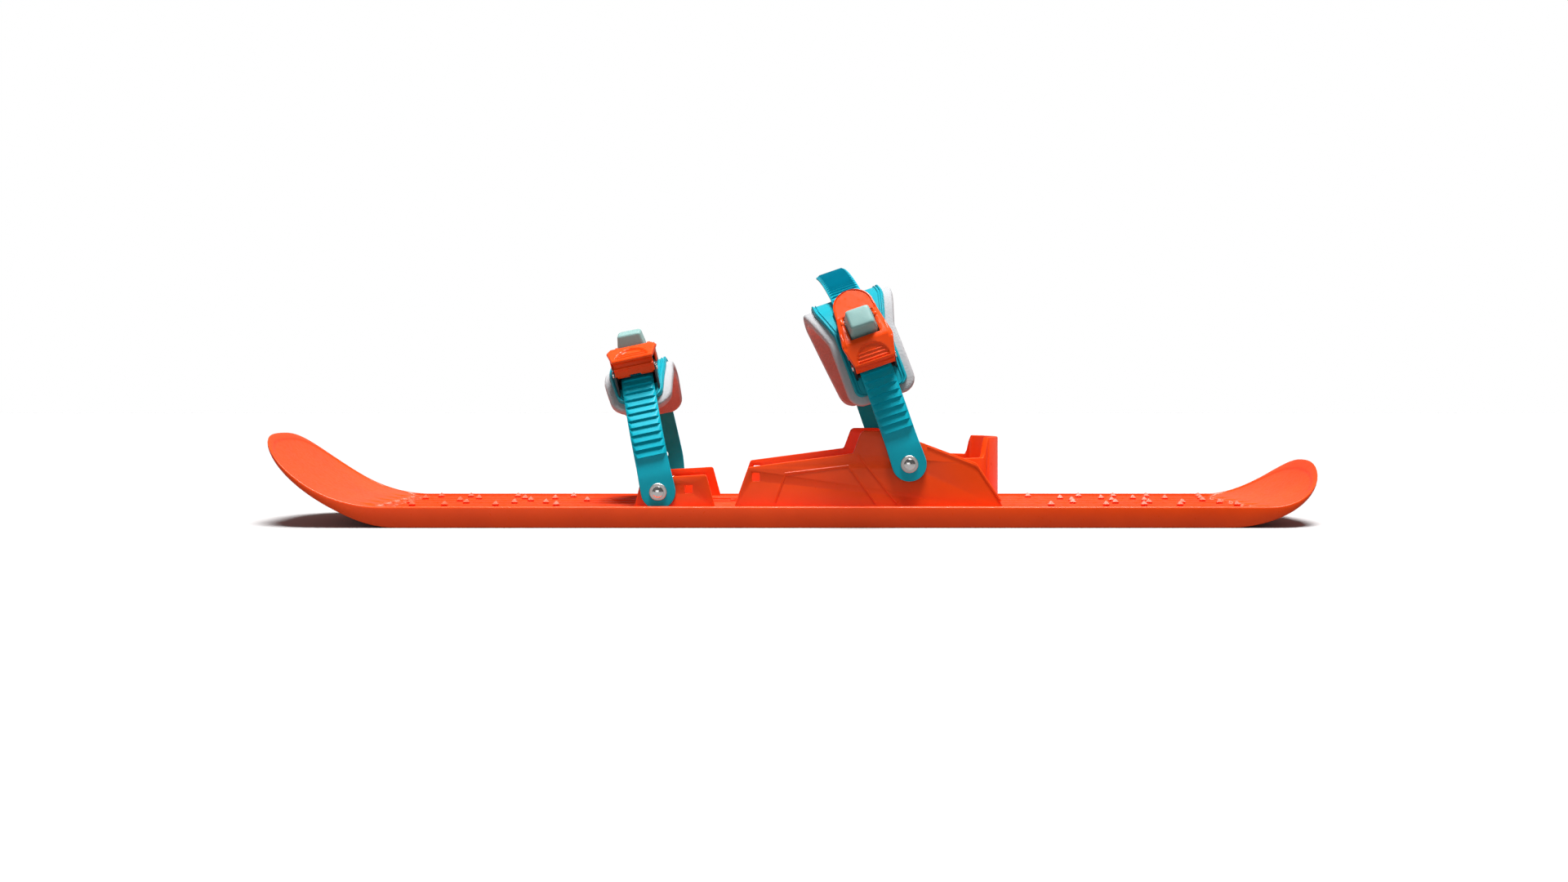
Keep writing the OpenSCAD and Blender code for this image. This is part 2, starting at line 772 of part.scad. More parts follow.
module pad_foam(s) {
    shape = foam_shape(s);
    pocket = plate_t + nut_drop + screw_head_t + 0.6;
    color("gainsboro")
        on_strap(s)
            difference() {
                pad_layer(s, shape, 0, foam_low(s), -plate_t - layer_gap - foam_t, -plate_t - layer_gap);
                corner_trim(s, shape[0], foam_low(s), foam_corner_r);
                at_adjuster(s)
                    cylinder(h = 2 * pocket, r = nut_pocket_r, center = true);
            }
}
module pad_liner(s) {
    shape = foam_shape(s);
    depth = plate_t + foam_t + 2 * layer_gap;
    color("rosybrown")
        on_strap(s)
            difference() {
                pad_layer(s, shape, liner_inset, foam_low(s) + 1, -depth - liner_t, -depth);
                corner_trim(s, shape[0] - 2 * liner_inset, foam_low(s) + 1, foam_corner_r);
            }
}

// Steel buckle base: a floor that follows the plate, and two cheeks with the pin holes
module cheek_outline(s) {
    back = window_back + 6;
    circle(r = knuckle_r + 0.3);
    translate([lock_pin_t, lock_pin_n])
        circle(r = small_pin_r + 1.7);
    polygon([
        [-2.9, -20],
        [-2.9, 0.8],
        [-0.8, knuckle_r + 0.2],
        [lock_pin_t - 0.4, lock_pin_n + small_pin_r + 1.6],
        [lock_pin_t + 2.2, lock_pin_n + 1.4],
        [back, plate_n(s, back) + 4],
        [back + 1, plate_n(s, back) - 6],
    ]);
}
module buckle_base(s) {
    color("dimgrey")
        on_strap(s)
            difference() {
                union() {
                    across(2 * cheek_in + 0.6)
                        polygon(band(s, base_low(s), base_high(s), 0, floor_t));
                    at_buckle(s)
                        for (side = [-1, 1])
                            translate([side * (cheek_in + base_t / 2), 0, 0])
                                across(base_t)
                                    cheek_outline(s);
                }
                across(through)
                    polygon(band(s, 0, 180, -30, 0));
                rivet_holes(s);
                at_buckle(s) {
                    cross_bar(0, 0, pin_r + running_gap, through / 4);
                    cross_bar(lock_pin_t, lock_pin_n, small_pin_r + running_gap, through / 4);
                }
            }
}
module buckle_rivets(s) {
    color("silver")
        on_strap(s)
            for (t = rivet_places)
                intersection() {
                    at_buckle(s)
                        translate([0, t, plate_n(s, t) - plate_t - 4])
                            cylinder(h = plate_t + 8, r = rivet_r);
                    across(4 * rivet_r)
                        polygon(band(s, base_low(s), base_high(s), -plate_t, floor_t - 0.1));
                }
}
module lever_pin(s) {
    head_w = 0.7;
    color("silver")
        on_strap(s)
            at_buckle(s) {
                cross_bar(0, 0, pin_r, 2 * cheek_out + 0.6);
                for (side = [-1, 1])
                    translate([side * (cheek_out + 0.1 + head_w / 2), 0, 0])
                        cross_bar(0, 0, 1.9, head_w);
            }
}
module button_pin(s) {
    color("silver")
        on_strap(s)
            at_buckle(s)
                cross_bar(button_pin_t, button_pin_n, small_pin_r, 2 * lug_out);
}
module lock_pawl_pin(s) {
    color("silver")
        on_strap(s)
            at_buckle(s)
                cross_bar(lock_pin_t, lock_pin_n, small_pin_r, 2 * cheek_out);
}

// Torsion spring: close turns round a pin of radius r, in the middle of the buckle
wire_r = 0.4;
spring_half = 2.4;
slot_half = spring_half + 0.4;
module spring_turns(t, n, r) {
    turns = floor(spring_half / wire_r);
    translate([wire_r - spring_half, t, n])
        rotate([0, 90, 0])
            rotate_extrude()
                for (k = [0 : turns - 1])
                    translate([r + 0.15, 2 * wire_r * k - wire_r])
                        square([2 * wire_r, 2 * wire_r + 0.01]);
}
// Room for a spring round a pin, open on the plate's side
module spring_slot(t, n, r) {
    reach = r + 0.15 + 2 * wire_r + 0.35;
    translate([-slot_half, t - reach, n - 10])
        cube([2 * slot_half, 2 * reach, 10 + reach]);
}
module lever_spring(s) {
    color("silver")
        on_strap(s)
            at_buckle(s)
                spring_turns(0, 0, pin_r);
}
module button_spring(s) {
    color("silver")
        on_strap(s)
            at_buckle(s)
                spring_turns(button_pin_t, button_pin_n, small_pin_r);
}

// Lever: a hollow cover on a knuckle, with a raised frame round the button and a round tongue
lip_t = -4.9;
lip_n = 8;
ridge_t = 6.7;
frame_n = lever_h - 3;
tongue_n = frame_n - 1.6;
lip_w = tongue_w;
lug_out = 9.6;
module lever_section() {
    polygon([
        [lip_t + 0.2, lip_n - 1.8],
        [lip_t, lip_n],
        [ridge_t, lever_h],
        [window_front - 0.1, lever_h - 0.2],
        [step_t, frame_n],
        [step_t + 0.4, tongue_n],
        [lever_reach, tongue_n - 1.1],
        [lever_reach, tongue_n - 1.1 - lever_t + 0.3],
        [step_t + 0.3, tongue_n - lever_t],
        [window_back - 0.1, frame_n - lever_t + 0.2],
        [window_front - 0.1, lever_h - lever_t - 0.3],
        [ridge_t - 0.1, lever_h - lever_t - 0.1],
        [lip_t + 2.5, lip_n - 1.8],
    ]);
}
// The stepped lip in front of the knuckle; its lowest part is narrower, to pass between the cheeks
module lip_section(low) {
    polygon([
        [lip_t + 1.3, low],
        [lip_t + 0.4, 3.5],
        [lip_t, lip_n],
        [lip_t + 7.3, lip_n + 2],
        [lip_t + 7.1, max(low, 1.5)],
        [lip_t + 4.9, low],
    ]);
}
module lever_side_outline() {
    polygon([
        [ridge_t - 2.9, 1.6],
        [ridge_t - 4.2, 9],
        [ridge_t, lever_h],
        [ridge_t + 9, lever_h - 1.2],
        [ridge_t + 9, lever_h - 4],
        [ridge_t + 5, 3.4],
    ]);
}
// The lever seen from above, along and across the strap
module lever_plan() {
    r = tongue_w / 2;
    translate([0, lever_reach - r])
        circle(r = r);
    polygon([
        [-r, lever_reach - r],
        [-r - 0.5, step_t],
        [-lever_w / 2, ridge_t],
        [-lip_w / 2, lip_t - 1],
        [lip_w / 2, lip_t - 1],
        [lever_w / 2, ridge_t],
        [r + 0.5, step_t],
        [r, lever_reach - r],
    ]);
}
module drive_ear() {
    polygon([
        [drive_pin_t - 2, drive_pin_n - 1.6],
        [drive_pin_t - 2.8, 9.2],
        [window_front - 0.2, 10.2],
        [drive_pin_t + 2, drive_pin_n + 0.6],
        [drive_pin_t + 1.8, drive_pin_n - 1.4],
    ]);
}
module lever(s) {
    color("orangered")
        on_strap(s)
            at_buckle(s)
                difference() {
                    intersection() {
                        union() {
                            across(lever_w)
                                lever_section();
                            across(knuckle_w)
                                lip_section(-1);
                            intersection() {
                                across(lip_w)
                                    lip_section(2);
                                across(lip_w)
                                    polygon([[lip_t, 2], [lip_t + 1.6, 2], [lip_t + 1.6, 9], [lip_t, 9]]);
                            }
                            cross_bar(0, 0, knuckle_r, knuckle_w);
                            cross_bar(button_pin_t, button_pin_n, small_pin_r + 1.1, 2 * lug_out);
                            for (side = [-1, 1]) {
                                translate([side * (lever_in + lever_w / 2) / 2, 0, 0])
                                    across(lever_w / 2 - lever_in)
                                        lever_side_outline();
                                translate([side * 5.2, 0, 0])
                                    across(1.6)
                                        drive_ear();
                            }
                        }
                        linear_extrude(through / 4, center = true)
                            lever_plan();
                    }
                    translate([-window_w / 2, window_front, 0])
                        cube([window_w, window_back - window_front, through / 4]);
                    cross_bar(0, 0, pin_r + running_gap, through / 4);
                    cross_bar(button_pin_t, button_pin_n, small_pin_r + running_gap, through / 4);
                    cross_bar(drive_pin_t, drive_pin_n, drive_pin_r + running_gap, 2 * 6.2);
                    spring_slot(0, 0, pin_r);
                }
}

// Release button: a tapered block in the lever's window, hinged at its back; its foot presses the lock pawl
button_taper = 1.2;
module release_button(s) {
    front = window_front + 0.8;
    back = window_back - 0.8;
    foot_n = 7.4;
    color("paleturquoise")
        on_strap(s)
            at_buckle(s)
                difference() {
                    union() {
                        intersection() {
                            across(button_w)
                                polygon([
                                    [front, foot_n],
                                    [front, foot_n + 2],
                                    [front + 1, button_h - 4],
                                    [front + 2.4, button_h - 1.2],
                                    [front + 5, button_h - 0.2],
                                    [back - 4, button_h],
                                    [back - 1.6, button_h - 0.8],
                                    [back - 0.6, foot_n + 4],
                                    [back, foot_n + 2],
                                    [back, button_pin_n],
                                    [button_pin_t, foot_n],
                                ]);
                            side_wedge();
                        }
                        cross_bar(button_pin_t, button_pin_n, small_pin_r + 1.3, button_w - 0.2);
                    }
                    cross_bar(button_pin_t, button_pin_n, small_pin_r + running_gap, through / 4);
                    spring_slot(button_pin_t, button_pin_n, small_pin_r);
                }
}
// Narrows the button towards its top
module side_wedge() {
    foot = button_w / 2;
    top = button_w / 2 - button_taper;
    rotate([90, 0, 0])
        linear_extrude(through / 2, center = true)
            polygon([
                [-foot, 0],
                [-foot, lever_h - 2],
                [-top, button_h],
                [top, button_h],
                [foot, lever_h - 2],
                [foot, 0],
            ]);
}

// Lock pawl: a bent steel plate on its pin; its nose stands over the ladder and its tail under the button
pawl_w = 11;
module lock_pawl(s) {
    nose = teeth_n(s, lock_pin_t + 4.6) + 0.15;
    color("grey")
        on_strap(s)
            at_buckle(s)
                difference() {
                    union() {
                        cross_bar(lock_pin_t, lock_pin_n, small_pin_r + 0.9, pawl_w);
                        across(pawl_w)
                            polygon([
                                [lock_pin_t - 7, lock_pin_n + 0.6],
                                [lock_pin_t - 7, lock_pin_n + 1.3],
                                [lock_pin_t + 0.4, lock_pin_n + 1.7],
                                [lock_pin_t + 1.8, lock_pin_n + 0.2],
                                [lock_pin_t + 5.2, nose + 0.3],
                                [lock_pin_t + 4.2, nose],
                                [lock_pin_t + 0.4, lock_pin_n - 1.6],
                                [lock_pin_t - 1.6, lock_pin_n - 0.4],
                            ]);
                    }
                    cross_bar(lock_pin_t, lock_pin_n, small_pin_r + running_gap, through / 4);
                }
}
// Drive pawl: hangs in the lever and pushes the ladder as the lever is lifted
drive_pawl_w = 8;
module drive_pawl(s) {
    tip = teeth_n(s, drive_pin_t + 3.5) + 0.15;
    color("grey")
        on_strap(s)
            at_buckle(s)
                difference() {
                    union() {
                        cross_bar(drive_pin_t, drive_pin_n, 1.7, drive_pawl_w);
                        across(drive_pawl_w)
                            polygon([
                                [drive_pin_t - 1.4, drive_pin_n - 0.8],
                                [drive_pin_t + 1.2, drive_pin_n + 1.1],
                                [drive_pin_t + 4, tip + 0.3],
                                [drive_pin_t + 3, tip],
                            ]);
                    }
                    cross_bar(drive_pin_t, drive_pin_n, drive_pin_r + running_gap, through / 4);
                }
}
module drive_pawl_pin(s) {
    color("silver")
        on_strap(s)
            at_buckle(s)
                cross_bar(drive_pin_t, drive_pin_n, drive_pin_r, 12);
}

ski_body();
pivot_bolts();
pivot_washers();
pivot_nuts();
ladder_strap(FRONT);  // front_ladder_strap
anchor_strap(FRONT);  // front_anchor_strap
pad_plate(FRONT);  // front_pad_plate
pad_foam(FRONT);  // front_pad_foam
pad_liner(FRONT);  // front_pad_liner
adjuster_screw(FRONT);  // front_adjuster_screw
adjuster_nut(FRONT);  // front_adjuster_nut
buckle_base(FRONT);  // front_buckle_base
buckle_rivets(FRONT);  // front_buckle_rivets
lever(FRONT);  // front_lever
lever_pin(FRONT);  // front_lever_pin
lever_spring(FRONT);  // front_lever_spring
release_button(FRONT);  // front_release_button
button_pin(FRONT);  // front_button_pin
button_spring(FRONT);  // front_button_spring
lock_pawl(FRONT);  // front_lock_pawl
lock_pawl_pin(FRONT);  // front_lock_pawl_pin
drive_pawl(FRONT);  // front_drive_pawl
drive_pawl_pin(FRONT);  // front_drive_pawl_pin
ladder_strap(REAR);  // rear_ladder_strap
anchor_strap(REAR);  // rear_anchor_strap
pad_plate(REAR);  // rear_pad_plate
pad_foam(REAR);  // rear_pad_foam
pad_liner(REAR);  // rear_pad_liner
adjuster_screw(REAR);  // rear_adjuster_screw
adjuster_nut(REAR);  // rear_adjuster_nut
buckle_base(REAR);  // rear_buckle_base
buckle_rivets(REAR);  // rear_buckle_rivets
lever(REAR);  // rear_lever
lever_pin(REAR);  // rear_lever_pin
lever_spring(REAR);  // rear_lever_spring
release_button(REAR);  // rear_release_button
button_pin(REAR);  // rear_button_pin
button_spring(REAR);  // rear_button_spring
lock_pawl(REAR);  // rear_lock_pawl
lock_pawl_pin(REAR);  // rear_lock_pawl_pin
drive_pawl(REAR);  // rear_drive_pawl
drive_pawl_pin(REAR);  // rear_drive_pawl_pin
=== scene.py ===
"""Dressed model of a mini ski with two ratchet straps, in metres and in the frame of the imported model."""

import json
import logging
import math
from dataclasses import dataclass, field
from enum import Enum
from typing import Callable, Sequence

import bmesh
import bpy
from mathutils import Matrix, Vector


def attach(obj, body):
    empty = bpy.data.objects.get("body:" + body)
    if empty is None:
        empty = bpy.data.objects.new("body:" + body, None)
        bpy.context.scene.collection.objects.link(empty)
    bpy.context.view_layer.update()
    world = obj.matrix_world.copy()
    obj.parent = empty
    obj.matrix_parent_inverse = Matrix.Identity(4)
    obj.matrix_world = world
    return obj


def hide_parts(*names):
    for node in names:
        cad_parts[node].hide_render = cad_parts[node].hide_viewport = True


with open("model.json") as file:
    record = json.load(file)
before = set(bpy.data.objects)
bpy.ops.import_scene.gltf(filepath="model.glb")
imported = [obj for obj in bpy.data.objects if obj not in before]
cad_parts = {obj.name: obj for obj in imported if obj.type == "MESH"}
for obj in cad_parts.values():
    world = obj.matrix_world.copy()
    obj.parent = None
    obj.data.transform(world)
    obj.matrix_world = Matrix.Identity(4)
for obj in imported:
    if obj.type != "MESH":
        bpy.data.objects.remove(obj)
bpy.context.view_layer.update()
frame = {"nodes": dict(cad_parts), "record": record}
LOG = logging.getLogger("mini_ski")
MM = 0.001

Point2 = tuple[float, float]
Place = Callable[[float, float, float], Vector]
MeshData = tuple[list[Vector], list[Sequence[int]]]


class Kind(Enum):
    """Families of surface."""

    PLASTIC = "plastic"
    SOFT_PLASTIC = "soft_plastic"
    FOAM = "foam"
    FABRIC = "fabric"
    METAL = "metal"
    COATED = "coated"


FAMILIES: dict[Kind, dict[str, float | tuple[float, float, float]]] = {
    Kind.PLASTIC: {"IOR": 1.5, "Specular IOR Level": 0.2, "Subsurface Weight": 0.05,
                   "Subsurface Radius": (0.002, 0.0008, 0.0003)},
    Kind.SOFT_PLASTIC: {"IOR": 1.45, "Specular IOR Level": 0.2, "Subsurface Weight": 0.06,
                        "Subsurface Radius": (0.0006, 0.0015, 0.002)},
    Kind.FOAM: {"Specular IOR Level": 0.25},
    Kind.FABRIC: {"Sheen Weight": 0.5, "Sheen Roughness": 0.6},
    Kind.METAL: {"Metallic": 1.0},
    Kind.COATED: {"Coat Weight": 0.2},
}


@dataclass(frozen=True)
class Finish:
    """A procedural finish.

    Args:
        slot: material slot of the record that it stands for.
        kind: family of surface.
        color: linear base colour.
        shade: linear colour that the base colour drifts towards in broad patches.
        roughness: middle roughness.
        grain: height of the fine bump in metres.
        grain_scale: how fine the bump is.
    """

    slot: str
    kind: Kind
    color: tuple[float, float, float]
    shade: tuple[float, float, float]
    roughness: float = 0.4
    grain: float = 0.00003
    grain_scale: float = 1400.0

    def material(self) -> bpy.types.Material:
        """Makes the material on first use.

        Returns:
            The material.
        """
        known = bpy.data.materials.get(f"finish_{self.slot}")
        if known is not None:
            return known
        mat = bpy.data.materials.new(f"finish_{self.slot}")
        mat.use_nodes = True
        tree = mat.node_tree
        shader = tree.nodes["Principled BSDF"]
        coords = tree.nodes.new("ShaderNodeTexCoord")
        broad = self._noise(tree, coords, 38.0, 3.0)
        mix = tree.nodes.new("ShaderNodeMix")
        mix.data_type = "RGBA"
        mix.inputs["A"].default_value = (*self.color, 1.0)
        mix.inputs["B"].default_value = (*self.shade, 1.0)
        tree.links.new(self._range(tree, broad, 0.3, 0.7, 0.0, 1.0), mix.inputs["Factor"])
        tree.links.new(mix.outputs["Result"], shader.inputs["Base Color"])
        fine = self._noise(tree, coords, 420.0, 4.0)
        spread = 0.12 if self.kind is Kind.METAL else 0.07
        tree.links.new(
            self._range(tree, fine, 0.3, 0.7, self.roughness - spread, self.roughness + spread),
            shader.inputs["Roughness"])
        bump = tree.nodes.new("ShaderNodeBump")
        bump.inputs["Strength"].default_value = 1.0
        bump.inputs["Distance"].default_value = self.grain
        tree.links.new(self._grain(tree, coords), bump.inputs["Height"])
        tree.links.new(bump.outputs["Normal"], shader.inputs["Normal"])
        self._family(shader)
        return mat

    def _family(self, shader: bpy.types.Node) -> None:
        """Sets what a family of surface shares.

        Args:
            shader: the principled shader.
        """
        for name, value in FAMILIES[self.kind].items():
            shader.inputs[name].default_value = value

    def _grain(self, tree: bpy.types.NodeTree, coords: bpy.types.Node) -> bpy.types.NodeSocket:
        """Adds the height that the bump follows.

        Args:
            tree: the material's node tree.
            coords: its coordinate node.

        Returns:
            Its socket.
        """
        if self.kind in (Kind.FOAM, Kind.FABRIC):
            cells = tree.nodes.new("ShaderNodeTexVoronoi")
            cells.inputs["Scale"].default_value = self.grain_scale
            tree.links.new(coords.outputs["Object"], cells.inputs["Vector"])
            return cells.outputs["Distance"]
        return self._noise(tree, coords, self.grain_scale, 2.0)

    @staticmethod
    def _noise(tree: bpy.types.NodeTree, coords: bpy.types.Node, scale: float, detail: float) -> bpy.types.NodeSocket:
        """Adds a noise over the object's own coordinates.

        Args:
            tree: the material's node tree.
            coords: its coordinate node.
            scale: noise scale.
            detail: noise detail.

        Returns:
            Its socket.
        """
        noise = tree.nodes.new("ShaderNodeTexNoise")
        noise.inputs["Scale"].default_value = scale
        noise.inputs["Detail"].default_value = detail
        tree.links.new(coords.outputs["Object"], noise.inputs["Vector"])
        return noise.outputs["Fac"]

    @staticmethod
    def _range(tree: bpy.types.NodeTree, value: bpy.types.NodeSocket, low: float, high: float,
               to_low: float, to_high: float) -> bpy.types.NodeSocket:
        """Maps a value from one range to another.

        Args:
            tree: the material's node tree.
            value: the socket to map.
            low: start of the first range.
            high: end of the first range.
            to_low: start of the second range.
            to_high: end of the second range.

        Returns:
            The socket of the result.
        """
        node = tree.nodes.new("ShaderNodeMapRange")
        for name, number in (("From Min", low), ("From Max", high), ("To Min", to_low), ("To Max", to_high)):
            node.inputs[name].default_value = number
        tree.links.new(value, node.inputs["Value"])
        return node.outputs["Result"]


SHELL = Finish("ski_shell", Kind.PLASTIC, (0.88, 0.068, 0.004), (0.80, 0.058, 0.004), 0.34)
LEVER = Finish("lever", Kind.PLASTIC, (0.88, 0.072, 0.005), (0.80, 0.062, 0.004), 0.32)
STRAP = Finish("strap", Kind.SOFT_PLASTIC, (0.001, 0.400, 0.510), (0.001, 0.360, 0.465), 0.40)
PLATE = Finish("pad_plate", Kind.SOFT_PLASTIC, (0.006, 0.360, 0.440), (0.004, 0.320, 0.400), 0.38)
FOAM = Finish("pad_foam", Kind.FOAM, (0.44, 0.44, 0.45), (0.39, 0.39, 0.40), 0.85, 0.00012, 900.0)
LINER = Finish("pad_liner", Kind.FABRIC, (0.40, 0.26, 0.23), (0.35, 0.22, 0.19), 0.9, 0.00015, 1100.0)
BASE = Finish("buckle_base", Kind.COATED, (0.012, 0.013, 0.015), (0.008, 0.009, 0.010), 0.45)
BUTTON = Finish("release_button", Kind.SOFT_PLASTIC, (0.27, 0.44, 0.42), (0.24, 0.40, 0.38), 0.40)
PIN = Finish("pin", Kind.METAL, (0.74, 0.73, 0.72), (0.66, 0.65, 0.64), 0.22, 0.00001)
BOLT = Finish("bolt", Kind.METAL, (0.80, 0.78, 0.77), (0.70, 0.68, 0.67), 0.16, 0.00001)
WASHER = Finish("washer", Kind.METAL, (0.62, 0.58, 0.56), (0.52, 0.49, 0.47), 0.45, 0.00002)
NUT = Finish("nut", Kind.METAL, (0.60, 0.59, 0.58), (0.52, 0.51, 0.50), 0.3, 0.00001)
SPRING = Finish("spring", Kind.METAL, (0.50, 0.50, 0.50), (0.42, 0.42, 0.42), 0.3, 0.00001)
PAWL = Finish("pawl", Kind.METAL, (0.36, 0.36, 0.37), (0.30, 0.30, 0.31), 0.4, 0.00002)
FINISHES = {f.slot: f for f in (SHELL, LEVER, STRAP, PLATE, FOAM, LINER, BASE, BUTTON, PIN, BOLT, WASHER, NUT,
                                SPRING, PAWL)}


def radians(angle: float) -> float:
    """Returns an angle in radians."""
    return angle * math.pi / 180


def line_through(knots: Sequence[Point2], at: float) -> float:
    """Follows a line of straight pieces, which keeps its last height after its end.

    Args:
        knots: the line's corners.
        at: a place along it.

    Returns:
        Its height at that place.
    """
    for (a0, b0), (a1, b1) in zip(knots, knots[1:]):
        if at <= a1:
            return b0 + (b1 - b0) * (at - a0) / (a1 - a0)
    return knots[-1][1]


def smooth(value: float) -> float:
    """Returns a soft step from 0 to 1 for a value from 0 to 1."""
    value = min(1.0, max(0.0, value))
    return value * value * (3 - 2 * value)


def drop(distance: float, radius: float) -> float:
    """Measures how far a rounded edge lies below its flat face.

    Args:
        distance: distance in from the edge.
        radius: radius of the edge.

    Returns:
        The depth.
    """
    if distance >= radius:
        return 0.0
    return radius - math.sqrt(max(0.0, radius * radius - (radius - max(distance, 0.0)) ** 2))


def spaced(start: float, end: float, step: float) -> list[float]:
    """Returns evenly spaced values from start to end, both included."""
    count = max(1, round(abs(end - start) / step))
    return [start + (end - start) * i / count for i in range(count + 1)]


def with_ends(start: float, end: float, step: float, r: float) -> list[float]:
    """Returns spaced values with more of them inside a rounding at both ends.

    Args:
        start: first value.
        end: last value.
        step: distance in the middle.
        r: radius of the rounding at the ends.
    """
    near = [r * (1 - math.cos(radians(a))) for a in (0, 12, 24, 36, 48, 60, 74)]
    return ([start + d for d in near] + spaced(start + r, end - r, step) + [end - d for d in reversed(near)])


def merge(*parts: MeshData) -> MeshData:
    """Joins several meshes without welding them.

    Args:
        parts: the meshes.

    Returns:
        One mesh.
    """
    verts: list[Vector] = []
    faces: list[Sequence[int]] = []
    for part_verts, part_faces in parts:
        base = len(verts)
        verts += part_verts
        faces += [[i + base for i in face] for face in part_faces]
    return verts, faces


def loft(loops: Sequence[Sequence[Vector]], closed: bool = False) -> MeshData:
    """Joins closed loops of the same length into a skin.

    Args:
        loops: the loops, in order.
        closed: whether the last loop joins the first, instead of both being capped.

    Returns:
        The skin.
    """
    size = len(loops[0])
    verts = [p for loop in loops for p in loop]
    faces: list[Sequence[int]] = []
    for i in range(len(loops) - (0 if closed else 1)):
        a, b = i * size, (i + 1) % len(loops) * size
        faces += [(a + j, a + (j + 1) % size, b + (j + 1) % size, b + j) for j in range(size)]
    if not closed:
        faces += [list(range(size - 1, -1, -1)), list(range(len(verts) - size, len(verts)))]
    return verts, faces


@dataclass
class Slab:
    """A sheet of varying width and thickness, laid along a path.

    Args:
        place: maps (along, across, up) to a point.
        stations: places along the path.
        half_width: half of the width at a place.
        top: height of the upper face at (along, across, distance from the edge).
        bottom: height of the lower face in the same way.
        r: radius of the edges.
        edge_columns: distances from the edge that get a row of points.
        columns: number of rows between the inmost edge rows.
    """

    place: Place
    stations: Sequence[float]
    half_width: Callable[[float], float]
    top: Callable[[float, float, float], float]
    bottom: Callable[[float, float, float], float]
    r: float = 0.4
    edge_columns: Sequence[float] = ()
    columns: int = 6

    def _row(self, u: float) -> list[tuple[float, float]]:
        """Places the columns at one station.

        Args:
            u: place along the path.

        Returns:
            (across, distance from the edge) of each column.
        """
        w = max(self.half_width(u), 0.05)
        edges = sorted({0.0, self.r * 0.12, self.r * 0.4, self.r, *self.edge_columns})
        share = min(1.0, w / (edges[-1] * 1.15))
        edges = [e * share for e in edges]
        inner = w - edges[-1]
        left = [(-(w - e), e) for e in edges]
        middle = [inner * (2 * (k + 1) / (self.columns + 1) - 1) for k in range(self.columns)]
        return left + [(v, w - abs(v)) for v in middle] + [(w - e, e) for e in reversed(edges)]

    def build(self) -> MeshData:
        """Builds the sheet.

        Returns:
            A closed mesh.
        """
        first, last = self.stations[0], self.stations[-1]
        loops = []
        for u in self.stations:
            row = self._row(u)
            to_end = min(u - first, last - u)
            upper, lower = [], []
            for v, e in row:
                high, low = self.top(u, v, e), self.bottom(u, v, e)
                r = min(self.r, (high - low) / 2)
                fall = max(drop(e, r), drop(to_end, r))
                upper.append(self.place(u, v, high - fall))
                lower.append(self.place(u, v, low + fall))
            loops.append(upper + lower[::-1])
        return loft(loops)


def cut_plate(outline: Sequence[Point2], thickness: float, bevel: float,
              holes: Sequence[Sequence[Point2]] = ()) -> MeshData:
    """Cuts a flat plate with rounded edges.

    Args:
        outline: its outline.
        thickness: its thickness, half to each side of its plane.
        bevel: radius of its edges.
        holes: outlines of its holes.

    Returns:
        Its points as (x, y, across) and its faces.
    """
    curve = bpy.data.curves.new("outline", "CURVE")
    curve.dimensions = "2D"
    curve.fill_mode = "BOTH"
    curve.extrude = thickness / 2 - bevel
    curve.bevel_depth = bevel
    curve.bevel_resolution = 1
    curve.offset = -bevel
    for loop in (outline, *holes):
        spline = curve.splines.new("POLY")
        spline.points.add(len(loop) - 1)
        for point, (x, y) in zip(spline.points, loop):
            point.co = (x, y, 0, 1)
        spline.use_cyclic_u = True
    obj = bpy.data.objects.new("outline", curve)
    bpy.context.scene.collection.objects.link(obj)
    mesh = bpy.data.meshes.new_from_object(obj.evaluated_get(bpy.context.evaluated_depsgraph_get()))
    data = [v.co.copy() for v in mesh.vertices], [list(p.vertices) for p in mesh.polygons]
    bpy.data.objects.remove(obj)
    bpy.data.meshes.remove(mesh)
    bpy.data.curves.remove(curve)
    return data


def mapped(data: MeshData, rule: Callable[[Vector], Vector]) -> MeshData:
    """Returns a mesh with its points moved by a rule."""
    return [rule(v) for v in data[0]], data[1]


def ring(r: float, count: int = 24, centre: Point2 = (0.0, 0.0)) -> list[Point2]:
    """Returns the points of a circle."""
    return [(centre[0] + r * math.cos(2 * math.pi * i / count), centre[1] + r * math.sin(2 * math.pi * i / count))
            for i in range(count)]


def rounded(points: Sequence[Point2], r: float, steps: int = 3) -> list[Point2]:
    """Rounds the corners of a polygon.

    Args:
        points: the polygon.
        r: largest radius of a corner.
        steps: number of segments of a corner.

    Returns:
        The rounded polygon.
    """
    out: list[Point2] = []
    for i, here in enumerate(points):
        p, a, b = Vector(here), Vector(points[i - 1]), Vector(points[(i + 1) % len(points)])
        to_a, to_b = a - p, b - p
        half = to_a.angle(to_b) / 2
        cut = min(r / math.tan(half), to_a.length * 0.45, to_b.length * 0.45)
        start, end = p + to_a.normalized() * cut, p + to_b.normalized() * cut
        for k in range(steps + 1):
            f = k / steps
            q = start * (1 - f) ** 2 + p * 2 * f * (1 - f) + end * f * f
            out.append((q.x, q.y))
    return out


def lathe(profile: Sequence[Point2], place: Place, count: int = 40) -> MeshData:
    """Turns a profile of (radius, height) round an axis.

    Args:
        profile: the profile, from the axis or a bore's edge round to its start.
        place: maps (x, y, height) to a point.
        count: number of segments.

    Returns:
        A closed mesh.
    """
    loops = []
    for i in range(count):
        a = 2 * math.pi * i / count
        loops.append([place(r * math.cos(a), r * math.sin(a), h) for r, h in profile])
    return loft(loops, closed=True)


